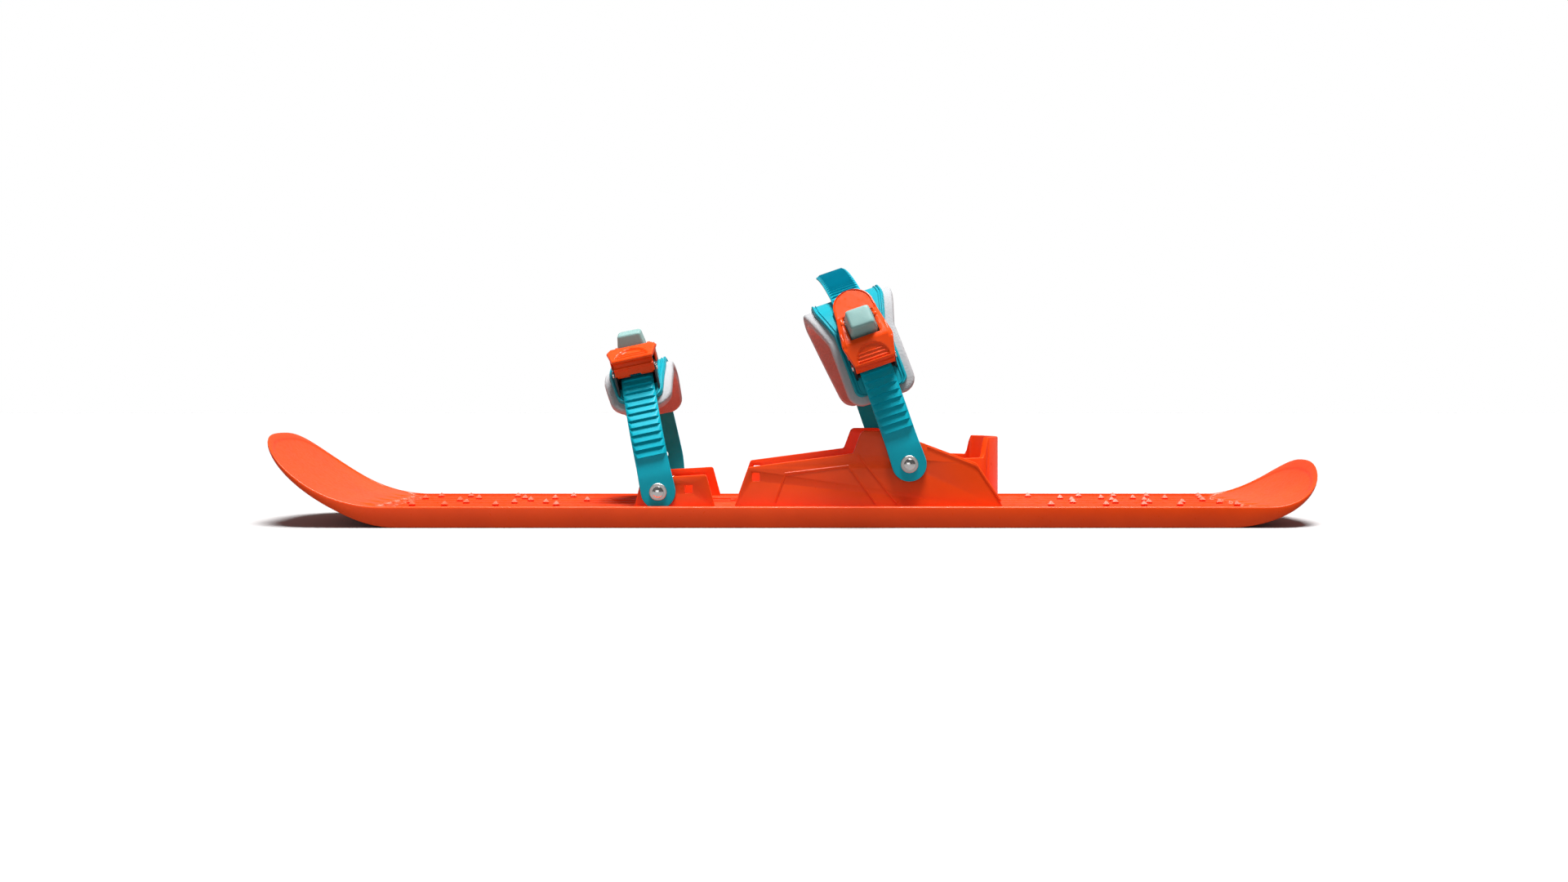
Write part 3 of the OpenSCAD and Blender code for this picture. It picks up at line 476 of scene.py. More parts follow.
def make(name: str, data: MeshData, finish: Finish, body: str, nodes: Sequence[str] = (),
         angle: float = 32.0) -> bpy.types.Object:
    """Makes a piece from points in millimetres.

    Args:
        name: the piece's name.
        data: its mesh.
        finish: its finish.
        body: the body that it rides on.
        nodes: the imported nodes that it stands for.
        angle: edges sharper than this stay sharp.

    Returns:
        The piece.
    """
    mesh = bpy.data.meshes.new(name)
    mesh.from_pydata([v * MM for v in data[0]], [], data[1])
    work = bmesh.new()
    work.from_mesh(mesh)
    bmesh.ops.remove_doubles(work, verts=work.verts, dist=1e-6)
    bmesh.ops.recalc_face_normals(work, faces=work.faces)
    work.to_mesh(mesh)
    work.free()
    mesh.polygons.foreach_set("use_smooth", [True] * len(mesh.polygons))
    mesh.set_sharp_from_angle(angle=radians(angle))
    mesh.materials.append(finish.material())
    obj = bpy.data.objects.new(name, mesh)
    bpy.context.scene.collection.objects.link(obj)
    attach(obj, body)
    if nodes:
        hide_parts(*nodes)
    LOG.info("%s: %d points on %s", name, len(mesh.vertices), body)
    return obj


def subtract(obj: bpy.types.Object, cutters: Sequence[MeshData], angle: float = 32.0) -> None:
    """Cuts closed meshes out of a piece.

    Args:
        obj: the piece.
        cutters: the meshes, in millimetres.
        angle: edges sharper than this stay sharp.
    """
    mesh = bpy.data.meshes.new("cutter")
    verts, faces = merge(*cutters)
    mesh.from_pydata([v * MM for v in verts], [], faces)
    work = bmesh.new()
    work.from_mesh(mesh)
    bmesh.ops.recalc_face_normals(work, faces=work.faces)
    work.to_mesh(mesh)
    work.free()
    cutter = bpy.data.objects.new("cutter", mesh)
    bpy.context.scene.collection.objects.link(cutter)
    modifier = obj.modifiers.new("cut", "BOOLEAN")
    modifier.operation = "DIFFERENCE"
    modifier.solver = "EXACT"
    modifier.object = cutter
    graph = bpy.context.evaluated_depsgraph_get()
    result = bpy.data.meshes.new_from_object(obj.evaluated_get(graph))
    obj.modifiers.clear()
    old = obj.data
    obj.data = result
    bpy.data.meshes.remove(old)
    bpy.data.objects.remove(cutter)
    bpy.data.meshes.remove(mesh)
    result.polygons.foreach_set("use_smooth", [True] * len(result.polygons))
    result.set_sharp_from_angle(angle=radians(angle))


def box(low: Sequence[float], high: Sequence[float], place: Place) -> MeshData:
    """Makes a box between two corners.

    Args:
        low: its lower corner.
        high: its upper corner.
        place: maps (x, y, z) to a point.

    Returns:
        A closed mesh.
    """
    corners = [(low, low), (high, low), (high, high), (low, high)]
    loops = [[place(a[0], b[1], z) for a, b in corners] for z in (low[2], high[2])]
    return loft(loops)


@dataclass(frozen=True)
class Arch:
    """The curve that a strap follows: straight feet, side arcs and a top arc in a plane leaning back.

    Args:
        name: front or rear.
        pivot: (x, z) of the pivots.
        tilt: lean towards the nose in degrees.
        height: height above the pivots.
        side_r: radius of the sides.
        foot_h: height of the straight feet.
        pin_at: angle round the arch of the buckle's lever pin.
        pin_turn: direction of the buckle.
        base_end: angle at which the buckle's base ends.
        loose: (radius, length) of the bends of the ladder's loose end.
        low: lowest angles of the foam and of the plate, and the far end's extra reach.
        foam: (end width, top width, start of widening, end of widening).
        plate: the same for the plate.
        far_taper: heights between which the pad's far half widens.
        half_span: half of the distance between the feet's inner faces.
        pin_lift: height of the lever pin over the plate.
    """

    name: str
    pivot: Point2
    tilt: float
    height: float
    side_r: float
    foot_h: float
    pin_at: float
    pin_turn: float
    base_end: float
    loose: tuple[Point2, Point2]
    low: tuple[float, float, float]
    foam: tuple[float, float, float, float]
    plate: tuple[float, float, float, float]
    far_taper: Point2
    half_span: float = 50.3
    pin_lift: float = 8.0

    @property
    def side_c(self) -> float:
        """Centre of the near side arc across the ski, mirrored."""
        return self.side_r - self.half_span

    @property
    def top_r(self) -> float:
        """Radius of the top arc."""
        rise = self.height - self.foot_h
        return (self.side_c ** 2 + rise ** 2 - self.side_r ** 2) / (2 * (rise - self.side_r))

    @property
    def top_h(self) -> float:
        """Height of the top arc's centre."""
        return self.height - self.top_r

    @property
    def join(self) -> float:
        """Angle where the side arc meets the top arc."""
        return math.degrees(math.asin((self.top_h - self.foot_h) / (self.side_r - self.top_r)))

    def at(self, a: float, d: float) -> Point2:
        """Follows the arch.

        Args:
            a: angle round it; below 0 and above 180 it runs down the feet in millimetres.
            d: offset outwards.

        Returns:
            (y, height) in the leaning plane.
        """
        if a > 90:
            y, h = self.at(180 - a, d)
            return -y, h
        if a < 0:
            return -(self.half_span + d), self.foot_h + a
        c, s = math.cos(radians(a)), math.sin(radians(a))
        if a <= self.join:
            return self.side_c - (self.side_r + d) * c, self.foot_h + (self.side_r + d) * s
        return -(self.top_r + d) * c, self.top_h + (self.top_r + d) * s

    def world(self, along: float, y: float, h: float) -> Vector:
        """Returns a point of the leaning plane, shifted along the ski."""
        t = radians(self.tilt)
        return Vector((self.pivot[0] - h * math.sin(t) + along * math.cos(t), y,
                       self.pivot[1] + h * math.cos(t) + along * math.sin(t)))

    def buckle(self, t: float, across: float, n: float) -> Vector:
        """Maps the buckle's frame, which starts at the lever pin.

        Args:
            t: place along the buckle.
            across: place across it.
            n: height above the pin.

        Returns:
            The point.
        """
        y, h = self.at(self.pin_at, self.pin_lift)
        b = radians(self.pin_turn)
        return self.world(across, y + t * math.sin(b) - n * math.cos(b), h + t * math.cos(b) + n * math.sin(b))

    @property
    def base_low(self) -> float:
        """Angle at which the buckle's base starts."""
        r = self.top_r if self.pin_at > self.join else self.side_r
        return self.pin_at - math.degrees(3.4 / r)

    def plate_n(self, t: float) -> float:
        """Finds the plate's face in the buckle's frame.

        Args:
            t: place along the buckle.

        Returns:
            Its height above the pin.
        """
        on_top = self.pin_at > self.join
        centre = (0.0, self.top_h) if on_top else (self.side_c, self.foot_h)
        r = self.top_r if on_top else self.side_r
        y, h = self.at(self.pin_at, self.pin_lift)
        vy, vh, b = centre[0] - y, centre[1] - h, radians(self.pin_turn)
        along = t - vy * math.sin(b) - vh * math.cos(b)
        return vh * math.sin(b) - vy * math.cos(b) + math.sqrt(r * r - along * along)


FRONT = Arch("front", (-70.2, 18.3), 12, 69.3, 75, 8, 49.5, 78, 87.5, ((130, 17), (130, 17)), (30, 34, 2.6),
             (30, 37.8, 45, 64), (23, 31.2, 49, 66), (20, 64))
REAR = Arch("rear", (59.8, 32.6), 19, 95.3, 100, 20, 19.7, 30.5, 51.8, ((60, 16), (220, 64)), (9.6, 12, 0),
            (36.6, 50.4, 74, 95.3), (28.6, 38.8, 76, 91), (42, 90))


@dataclass
class Path:
    """A line in an arch's plane with the direction of its outward normal.

    Args:
        arch: the arch.
        points: (y, height, normal angle) along the line.
        runs: length along the line at each point, measured when it is made.
    """

    arch: Arch
    points: list[tuple[float, float, float]]
    runs: list[float] = field(default_factory=list)

    def __post_init__(self) -> None:
        """Measures the line."""
        self.runs = [0.0]
        for a, b in zip(self.points, self.points[1:]):
            self.runs.append(self.runs[-1] + math.hypot(b[0] - a[0], b[1] - a[1]))

    @property
    def length(self) -> float:
        """Length of the line."""
        return self.runs[-1]

    def at(self, u: float) -> tuple[float, float, float]:
        """Follows the line.

        Args:
            u: length along it.

        Returns:
            (y, height, normal angle).
        """
        low, high = 0, len(self.runs) - 1
        while high - low > 1:
            mid = (low + high) // 2
            low, high = (mid, high) if self.runs[mid] <= u else (low, mid)
        f = (u - self.runs[low]) / (self.runs[high] - self.runs[low])
        a, b = self.points[low], self.points[high]
        return tuple(p + (q - p) * f for p, q in zip(a, b))

    def place(self, u: float, across: float, n: float) -> Vector:
        """Returns the point at a length along the line, a distance across and a height above it."""
        y, h, a = self.at(u)
        return self.arch.world(across, y - n * math.cos(radians(a)), h + n * math.sin(radians(a)))

    def height(self, u: float) -> float:
        """Returns the height at a length along the line."""
        return self.at(u)[1]


@dataclass(frozen=True)
class Rise:
    """A rising end of the ski, made of two arcs.

    Args:
        length: how far from the tip it starts.
        first_r: radius of the first arc.
        turn: angle that the first arc turns by.
        second_r: radius of the second arc.
    """

    length: float
    first_r: float
    turn: float
    second_r: float

    def at(self, d: float) -> float:
        """Follows the rise.

        Args:
            d: distance past its start.

        Returns:
            Its height.
        """
        r1, r2 = self.first_r, self.second_r
        if d <= 0:
            return 0.0
        s, c = math.sin(radians(self.turn)), math.cos(radians(self.turn))
        if d <= r1 * s:
            return r1 - math.sqrt(r1 * r1 - d * d)
        return r1 * (1 - c) + r2 * c - math.sqrt(r2 * r2 - (d + (r2 - r1) * s) ** 2)


@dataclass
class SkiShell:
    """The moulded ski: runner, rim, ribs, walls and heel cup.

    Args:
        half_length: half of the length.
        half_width: half of the width.
        nose_under: rise of the underside at the nose.
        nose_deck: rise of the deck at the nose.
        tail_under: rise of the underside at the tail.
        tail_deck: rise of the deck at the tail.
        nose_plan: (length, power) of the nose's rounding in plan.
        tail_plan: the same of the tail.
        rim_h: height of the rim.
        rim_w: width of the rim.
        groove: depth of the grooves.
        nose_out: places past the nose's bend between which the grooves run out.
        tail_out: the same past the tail's bend.
        rib_pitch: distance between two ribs.
        rib_half: half of a rib's width.
        nose_land: how far from the nose's tip the grooves end.
        tail_land: the same from the tail's tip.
        flare: how far a rib widens to each side at its ends.
        flare_run: length over which it widens.
        spike_r: half of a spike's side.
        spike_h: height of a spike.
        line_h: height of the raised lines over the rim's level.
        wall: thickness of the walls.
        wall_out: half of the distance over the walls.
        ear_h: height of the ears.
        front_h: height of the housing's front end.
        top_h: height of the housing at its pivots.
        heel_h: height of the heel cup.
        tab_h: height of its tab.
        tab_w: width of its tab.
        heel_x: place of the heel cup's centre.
        window: side of the windows.
        bolt_r: radius of the bolts' holes.
    """

    half_length: float = 282.0
    half_width: float = 57.5
    nose_under: Rise = Rise(78.0, 59.0, 22.4, 137.0)
    nose_deck: Rise = Rise(70.3, 76.8, 32.5, 126.1)
    tail_under: Rise = Rise(58.6, 72.0, 80.0, 72.0)
    tail_deck: Rise = Rise(37.4, 41.97, 80.0, 41.97)
    nose_plan: Point2 = (46.0, 2.9)
    tail_plan: Point2 = (34.0, 2.4)
    rim_h: float = 11.0
    rim_w: float = 3.2
    groove: float = 2.5
    nose_out: Point2 = (2.0, 21.0)
    tail_out: Point2 = (-6.0, 12.0)
    rib_pitch: float = 18.0
    rib_half: float = 1.5
    nose_land: float = 51.0
    tail_land: float = 24.0
    flare: float = 8.0
    flare_run: float = 22.0
    spike_r: float = 1.7
    spike_h: float = 1.7
    line_h: float = 0.3
    wall: float = 3.0
    wall_out: float = 50.0
    ear_h: float = 27.1
    front_h: float = 30.9
    top_h: float = 49.8
    heel_h: float = 35.3
    tab_h: float = 46.0
    tab_w: float = 64.0
    heel_x: float = 62.8
    window: float = 4.2
    bolt_r: float = 2.05

    def under(self, x: float) -> float:
        """Returns the height of the underside."""
        rise = self.nose_under if x < 0 else self.tail_under
        return rise.at(abs(x) - (self.half_length - rise.length))

    def deck(self, x: float) -> float:
        """Returns the height of the rim."""
        rise = self.nose_deck if x < 0 else self.tail_deck
        return self.rim_h + rise.at(abs(x) - (self.half_length - rise.length))

    def floor(self, x: float) -> float:
        """Follows the bottom of the grooves.

        Args:
            x: place along the ski.

        Returns:
            Its height.
        """
        low = self.rim_h - self.groove
        rise, out = (self.nose_deck, self.nose_out) if x < 0 else (self.tail_deck, self.tail_out)
        past = abs(x) - (self.half_length - rise.length)
        if past > out[1]:
            return self.deck(x)
        if past <= out[0]:
            return min(low, self.deck(x))
        high = self.rim_h + rise.at(out[1])
        return min(low + (past - out[0]) / (out[1] - out[0]) * (high - low), self.deck(x))

    def outline(self) -> list[Point2]:
        """Draws the near half of the plan from the nose's tip to the tail's tip.

        Returns:
            (x, half width) of its points.
        """
        angles = [90, 89, 87, 84, 80, 75, 70, 64, 58, 52, 46, 40, 34, 28, 22, 16, 11, 7, 4, 2, 1, 0]

        def end(side: int, plan: Point2) -> list[Point2]:
            """Returns a rounded end from its tip inwards."""
            length, power = plan
            return [(side * (self.half_length - length + length * math.sin(radians(a)) ** (2 / power)),
                     max(self.half_width * math.cos(radians(a)) ** (2 / power), 0.0)) for a in angles]

        start, stop = self.nose_plan[0] - self.half_length, self.half_length - self.tail_plan[0]
        middle = [(x, self.half_width) for x in spaced(start, stop, 1.6)[1:-1]]
        return end(-1, self.nose_plan) + middle + end(1, self.tail_plan)[::-1]

    def rib(self, x: float, y: float) -> float:
        """Tells ribs from grooves.

        Args:
            x: place along the ski.
            y: place across it.

        Returns:
            1 on a rib, 0 in a groove and between at a rib's sides.
        """
        outer_edge, side_step = 2.5 * self.rib_pitch, 9.0
        nearest = max(-2, min(2, round(y / self.rib_pitch))) * self.rib_pitch
        nose_end = -(self.half_length - self.nose_land) + (side_step if y < -outer_edge else 0)
        to_end = min(x - nose_end, self.half_length - self.tail_land - x)
        widen = (1 - min(1.0, max(0.0, to_end) / self.flare_run)) ** 1.2
        half = self.rib_half + self.flare * widen
        if abs(y) > outer_edge:
            half = -1.0 + (10.5 - (self.half_width - self.rim_w - abs(y)) * 0.3) * widen
        return 1 - smooth((abs(y - nearest) - half + 0.35) / 0.7)

    def top(self, x: float, y: float, e: float) -> float:
        """Follows the upper side.

        Args:
            x: place along the ski.
            y: place across it.
            e: distance from the outline.

        Returns:
            Its height.
        """
        z, low = self.deck(x), self.floor(x)
        in_rim = 1 - smooth((e - self.rim_w + 0.3) / 0.7)
        up = max(in_rim, self.rib(x, y))
        ends = smooth((abs(x) - (self.half_length - 52)) / 10)
        dish = 0.55 * ends * (1 - in_rim)
        return low + (z - low) * up - dish - drop(e, 1.0)

    def bottom(self, x: float, y: float, e: float) -> float:
        """Returns the height of the underside at a distance e from the outline, the same at every y."""
        return self.under(x) + drop(e, 0.9)

    def skin(self, height: Callable[[float, float, float], float], rings: Sequence[float],
             step: float) -> tuple[MeshData, int]:
        """Covers the plan with one side of the shell.

        Args:
            height: height at (x, y, distance from the outline).
            rings: distances from the outline of the rings of points.
            step: distance across the ski between two points.

        Returns:
            The mesh, and the number of points of its outermost ring, which come first.
        """
        near = self.outline()
        count = len(near)
        normals = []
        for i, (x, w) in enumerate(near):
            a, b = near[max(i - 1, 0)], near[min(i + 1, count - 1)]
            if i in (0, count - 1):
                normals.append((1.0 if i == 0 else -1.0, 0.0))
                continue
            dx, dw = b[0] - a[0], b[1] - a[1]
            size = math.hypot(dx, dw)
            normals.append((dw / size, -dx / size))
        loop = [(x, -w, n[0], -n[1]) for (x, w), n in zip(near, normals)]
        loop += [(x, w, n[0], n[1]) for (x, w), n in zip(near[-2:0:-1], normals[-2:0:-1])]
        size = len(loop)
        verts: list[Vector] = []
        faces: list[Sequence[int]] = []
        for k, d in enumerate(rings):
            for x, y, nx, ny in loop:
                px, py = x + d * nx, y + d * ny
                verts.append(Vector((px, py, height(px, py, d))))
            if k:
                a, b = (k - 1) * size, k * size
                faces += [(a + j, a + (j + 1) % size, b + (j + 1) % size, b + j) for j in range(size)]
        base = (len(rings) - 1) * size
        columns = round(2 * (self.half_width - rings[-1]) / step)
        previous = [base] * (columns + 1)
        for i in range(1, count):
            if i == count - 1:
                row = [base + i] * (columns + 1)
            else:
                low, high = verts[base + i], verts[base + size - i]
                row = [base + i]
                for c in range(1, columns):
                    y = low.y + (high.y - low.y) * c / columns
                    row.append(len(verts))
                    verts.append(Vector((low.x, y, height(low.x, y, self.half_width))))
                row.append(base + size - i)
            for c in range(columns):
                quad = [previous[c], row[c], row[c + 1], previous[c + 1]]
                faces.append(list(dict.fromkeys(quad)))
            previous = row
        return (verts, [f for f in faces if len(f) > 2]), size

    def runner(self) -> MeshData:
        """Builds the runner with its rim and ribs.

        Returns:
            A closed mesh.
        """
        top, size = self.skin(self.top, (0, 0.12, 0.4, 1.0, 1.9, 2.9, 3.1, 3.35, 3.6, 4.2, 5.0), 0.75)
        bottom, _ = self.skin(self.bottom, (0, 0.12, 0.4, 0.9, 3.0), 12.0)
        offset = len(top[0])
        verts, faces = merge(top, bottom)
        faces += [(j, (j + 1) % size, offset + (j + 1) % size, offset + j) for j in range(size)]
        return verts, faces

    def spikes(self) -> MeshData:
        """Builds the rows of small pyramids on the ribs.

        Returns:
            The mesh.
        """
        rows = [
            (0, (71, 99, 138, 169), (128, 106, 88, 56)),
            (1, (76, 106, 132, 149), (131, 108, 90, 72, 52)),
            (2, (81, 98, 125, 157), (146, 117, 97, 78, 48)),
        ]
        corners = [(-1, -1), (1, -1), (1, 1), (-1, 1)]
        profile = [(self.spike_r + 0.05, -0.3), (self.spike_r, 0.0), (0.35, self.spike_h - 0.15),
                   (0.12, self.spike_h)]
        parts = []
        for number, from_nose, from_tail in rows:
            places = [d - self.half_length for d in from_nose] + [self.half_length - d for d in from_tail]
            for side in ((1,) if number == 0 else (-1, 1)):
                y = side * number * self.rib_pitch
                for x in places:
                    parts.append(loft([[Vector((x + a * r, y + b * r, self.deck(x) + z)) for a, b in corners]
                                       for r, z in profile]))
        return merge(*parts)

    @staticmethod
    def bead(line: Sequence[Point2], section: Sequence[Point2], place: Place,
             limit: float = 1.0) -> MeshData:
        """Builds a raised line.

        Args:
            line: its points.
            section: its section as (across, up).
            place: maps (x, y, up) to a point.
            limit: least share of the width that a sharp corner keeps, 1 where corners stay as wide as the rest.

        Returns:
            The mesh.
        """
        loops = []
        for i, p in enumerate(line):
            a, b = Vector(line[max(i - 1, 0)]), Vector(line[min(i + 1, len(line) - 1)])
            across = Vector((-(b - a).y, (b - a).x)).normalized()
            if limit < 1 and 0 < i < len(line) - 1:
                first = (Vector(p) - a).normalized()
                across /= max(limit, across.dot(Vector((-first.y, first.x))))
            loops.append([place(p[0] + across.x * w, p[1] + across.y * w, up) for w, up in section])
        return loft(loops)

    def deck_lines(self) -> MeshData:
        """Builds the raised lines on the deck round the two straps' places.

        Returns:
            The mesh.
        """
        sharp = [(-99, 0), (-93, 3.4), (-84, 6.6), (-70, 9.8), (-52, 11.6), (-30, 12.2)]
        blunt = [(-33.5, 0), (-33.1, 2.2), (-31.6, 4.6), (-28.5, 6.9), (-23, 8.8), (-14, 10.4), (0, 11.4), (20, 11.6)]
        low, high = self.rim_h - self.groove - 0.2, self.rim_h + self.line_h
        section = [(-0.9, low), (-0.55, high), (0.55, high), (0.9, low)]
        parts = []
        for line in (sharp, blunt):
            path = [(x, y) for x, y in reversed(line)] + [(x, -y) for x, y in line[1:]]
            parts.append(self.bead(path, section, lambda x, y, z: Vector((x, y, z))))
        return merge(*parts)

    def wall_plate(self, side: int, outline: Sequence[Point2], holes: Sequence[Sequence[Point2]]) -> MeshData:
        """Builds one side wall.

        Args:
            side: -1 for the near wall, 1 for the far one.
            outline: its outline as (x, z).
            holes: outlines of its holes.

        Returns:
            The mesh.
        """
        data = cut_plate(outline, self.wall, 0.5, holes)
        middle = side * (self.wall_out - self.wall / 2)
        return mapped(data, lambda v: Vector((v.x, middle + v.z, v.y)))

    def square(self, x: float, z: float) -> list[Point2]:
        """Draws a window with rounded corners.

        Args:
            x: place of its middle along the ski.
            z: height of its middle.

        Returns:
            Its outline.
        """
        h = self.window / 2
        corners = [(x - h, z - h), (x + h, z - h), (x + h, z + h), (x - h, z + h)]
        return rounded(corners, 0.5, 2)

    def walls(self) -> MeshData:
        """Builds the ears and the housing walls of both sides.

        Returns:
            The mesh.
        """
        f, r, low = FRONT.pivot[0], REAR.pivot[0], self.rim_h - self.groove - 0.6
        ear = rounded([(f - 13.2, low), (f - 8.8, self.ear_h - 1.8), (f + 8.2, self.ear_h - 1),
                       (f + 24.8, self.ear_h), (f + 30, low)], 1.6)
        top = self.top_h
        housing = rounded([(r - 91.5, low), (r - 83.3, self.front_h), (r - 28.9, self.front_h + 7.2),
                           (r - 25, top - 1.2), (r - 23.3, top), (r - 9.5, top), (r + 35.3, top - 16.8),
                           (r + 50.5, low)], 1.6)
        parts = []
        for side in (-1, 1):
            for outline, arch, window in ((ear, FRONT, (f + 15.7, 19.5)), (housing, REAR, (r - 79.4, 25.8))):
                holes = [ring(self.bolt_r, 24, arch.pivot), self.square(*window)]
                parts.append(self.wall_plate(side, outline, holes))
        return merge(*parts)

    def relief(self) -> MeshData:
        """Builds the raised lines on the outer faces of the housing walls.

        Returns:
            The mesh.
        """
        r = REAR.pivot[0]
        lines = [
            [(r - 69.5, 12.5), (r - 64, 27.5), (r - 31.5, 31.6), (r - 17.5, 12.5)],
            [(r - 26.5, 37.6), (r - 6.5, 12.4)],
            [(r + 9.5, 41.5), (r + 35.5, 31.3), (r + 47.6, 13.2)],
        ]
        section = [(-0.65, -0.1), (-0.35, 0.26), (0.35, 0.26), (0.65, -0.1)]
        parts = []
        for side in (-1, 1):
            for line in lines:
                parts.append(self.bead(line, section, lambda x, z, out, s=side: Vector(
                    (x, s * (self.wall_out + out), z)), 0.5))
        return merge(*parts)

    def heel(self) -> MeshData:
        """Builds the heel cup with its tab.

        Returns:
            A closed mesh.
        """
        outer = self.wall_out
        low = self.rim_h - self.groove - 0.5
        loops = []
        for a in spaced(-90, 90, 2):
            c, s = math.cos(radians(a)), math.sin(radians(a))
            top = self.heel_h + (self.tab_h - self.heel_h) * smooth((self.tab_w / 2 - abs(outer * s)) / 4)
            section = [(outer, low), (outer, top - 0.6), (outer - 0.18, top - 0.18), (outer - 0.6, top),
                       (outer - self.wall + 0.6, top), (outer - self.wall + 0.18, top - 0.18),
                       (outer - self.wall, top - 0.6), (outer - self.wall, low)]
            loops.append([Vector((self.heel_x + r * c, r * s, z)) for r, z in section])
        return loft(loops)

    def build(self) -> None:
        """Makes the shell's pieces."""
        make("ski_runner", self.runner(), SHELL, "ski", ["ski_body"], 40)
        make("ski_walls", merge(self.walls(), self.relief(), self.deck_lines()), SHELL, "ski", (), 35)
        make("ski_heel_cup", self.heel(), SHELL, "ski", (), 40)
        make("ski_spikes", self.spikes(), SHELL, "ski", (), 30)


@dataclass
class PivotHardware:
    """Bolts, washers and nuts at the four pivots.

    Args:
        shank_r: radius of a shank.
        head_r: radius of a head.
        head_h: height of a head.
        washer_r: radius of a washer.
        washer_t: thickness of a washer.
        nut_across: distance across a nut's flats.
        nut_t: thickness of a nut.
        nut_at: place of a nut's outer face across the ski.
        washer_at: place of a washer's inner face across the ski.
        dome: radius of a head's dome as a share of the head's radius.
    """

    shank_r: float = 2.0
    head_r: float = 2.9
    head_h: float = 1.9
    washer_r: float = 4.5
    washer_t: float = 0.9
    nut_across: float = 7.0
    nut_t: float = 2.4
    nut_at: float = 47.0
    washer_at: float = 52.7
    dome: float = 1.6

    def _each(self, profile: Sequence[Point2], count: int = 40) -> MeshData:
        """Turns a profile at each pivot.

        Args:
            profile: (radius, distance from the ski's middle) of its points.
            count: number of segments.

        Returns:
            The mesh.
        """
        parts = []
        for arch in (FRONT, REAR):
            for side in (-1, 1):
                parts.append(lathe(profile, lambda x, y, h: Vector(
                    (arch.pivot[0] + x, side * h, arch.pivot[1] + y)), count))
        return merge(*parts)

    def build(self) -> None:
        """Makes the bolts, washers and nuts."""
        head = self.washer_at + self.washer_t
        sphere = self.dome * self.head_r
        dome = [(self.head_r * f, head + self.head_h - sphere + math.sqrt(sphere ** 2 - (self.head_r * f) ** 2))
                for f in (1.0, 0.94, 0.85, 0.7, 0.5, 0.3, 0.12, 0.001)]
        start = self.nut_at - self.nut_t
        bolt = [(0.001, start), (self.shank_r - 0.3, start), (self.shank_r, start + 0.3), (self.shank_r, head),
                (self.head_r, head)] + dome
        make("pivot_bolt_set", self._each(bolt), BOLT, "ski", ["pivot_bolts"], 50)
        bore, w, t = self.shank_r + 0.05, self.washer_at, self.washer_t
        washer = [(bore, w), (self.washer_r - 0.15, w), (self.washer_r, w + 0.15), (self.washer_r, w + t - 0.3),
                  (self.washer_r - 0.3, w + t), (bore + 0.2, w + t), (bore, w + t - 0.2)]
        make("pivot_washer_set", self._each(washer), WASHER, "ski", ["pivot_washers"], 30)
        corner = self.nut_across / math.sqrt(3)
        nut = [(bore, start), (corner - 0.4, start), (corner, start + 0.35), (corner, self.nut_at),
               (bore, self.nut_at)]
        make("pivot_nut_set", self._each(nut, 6), NUT, "ski", ["pivot_nuts"], 30)


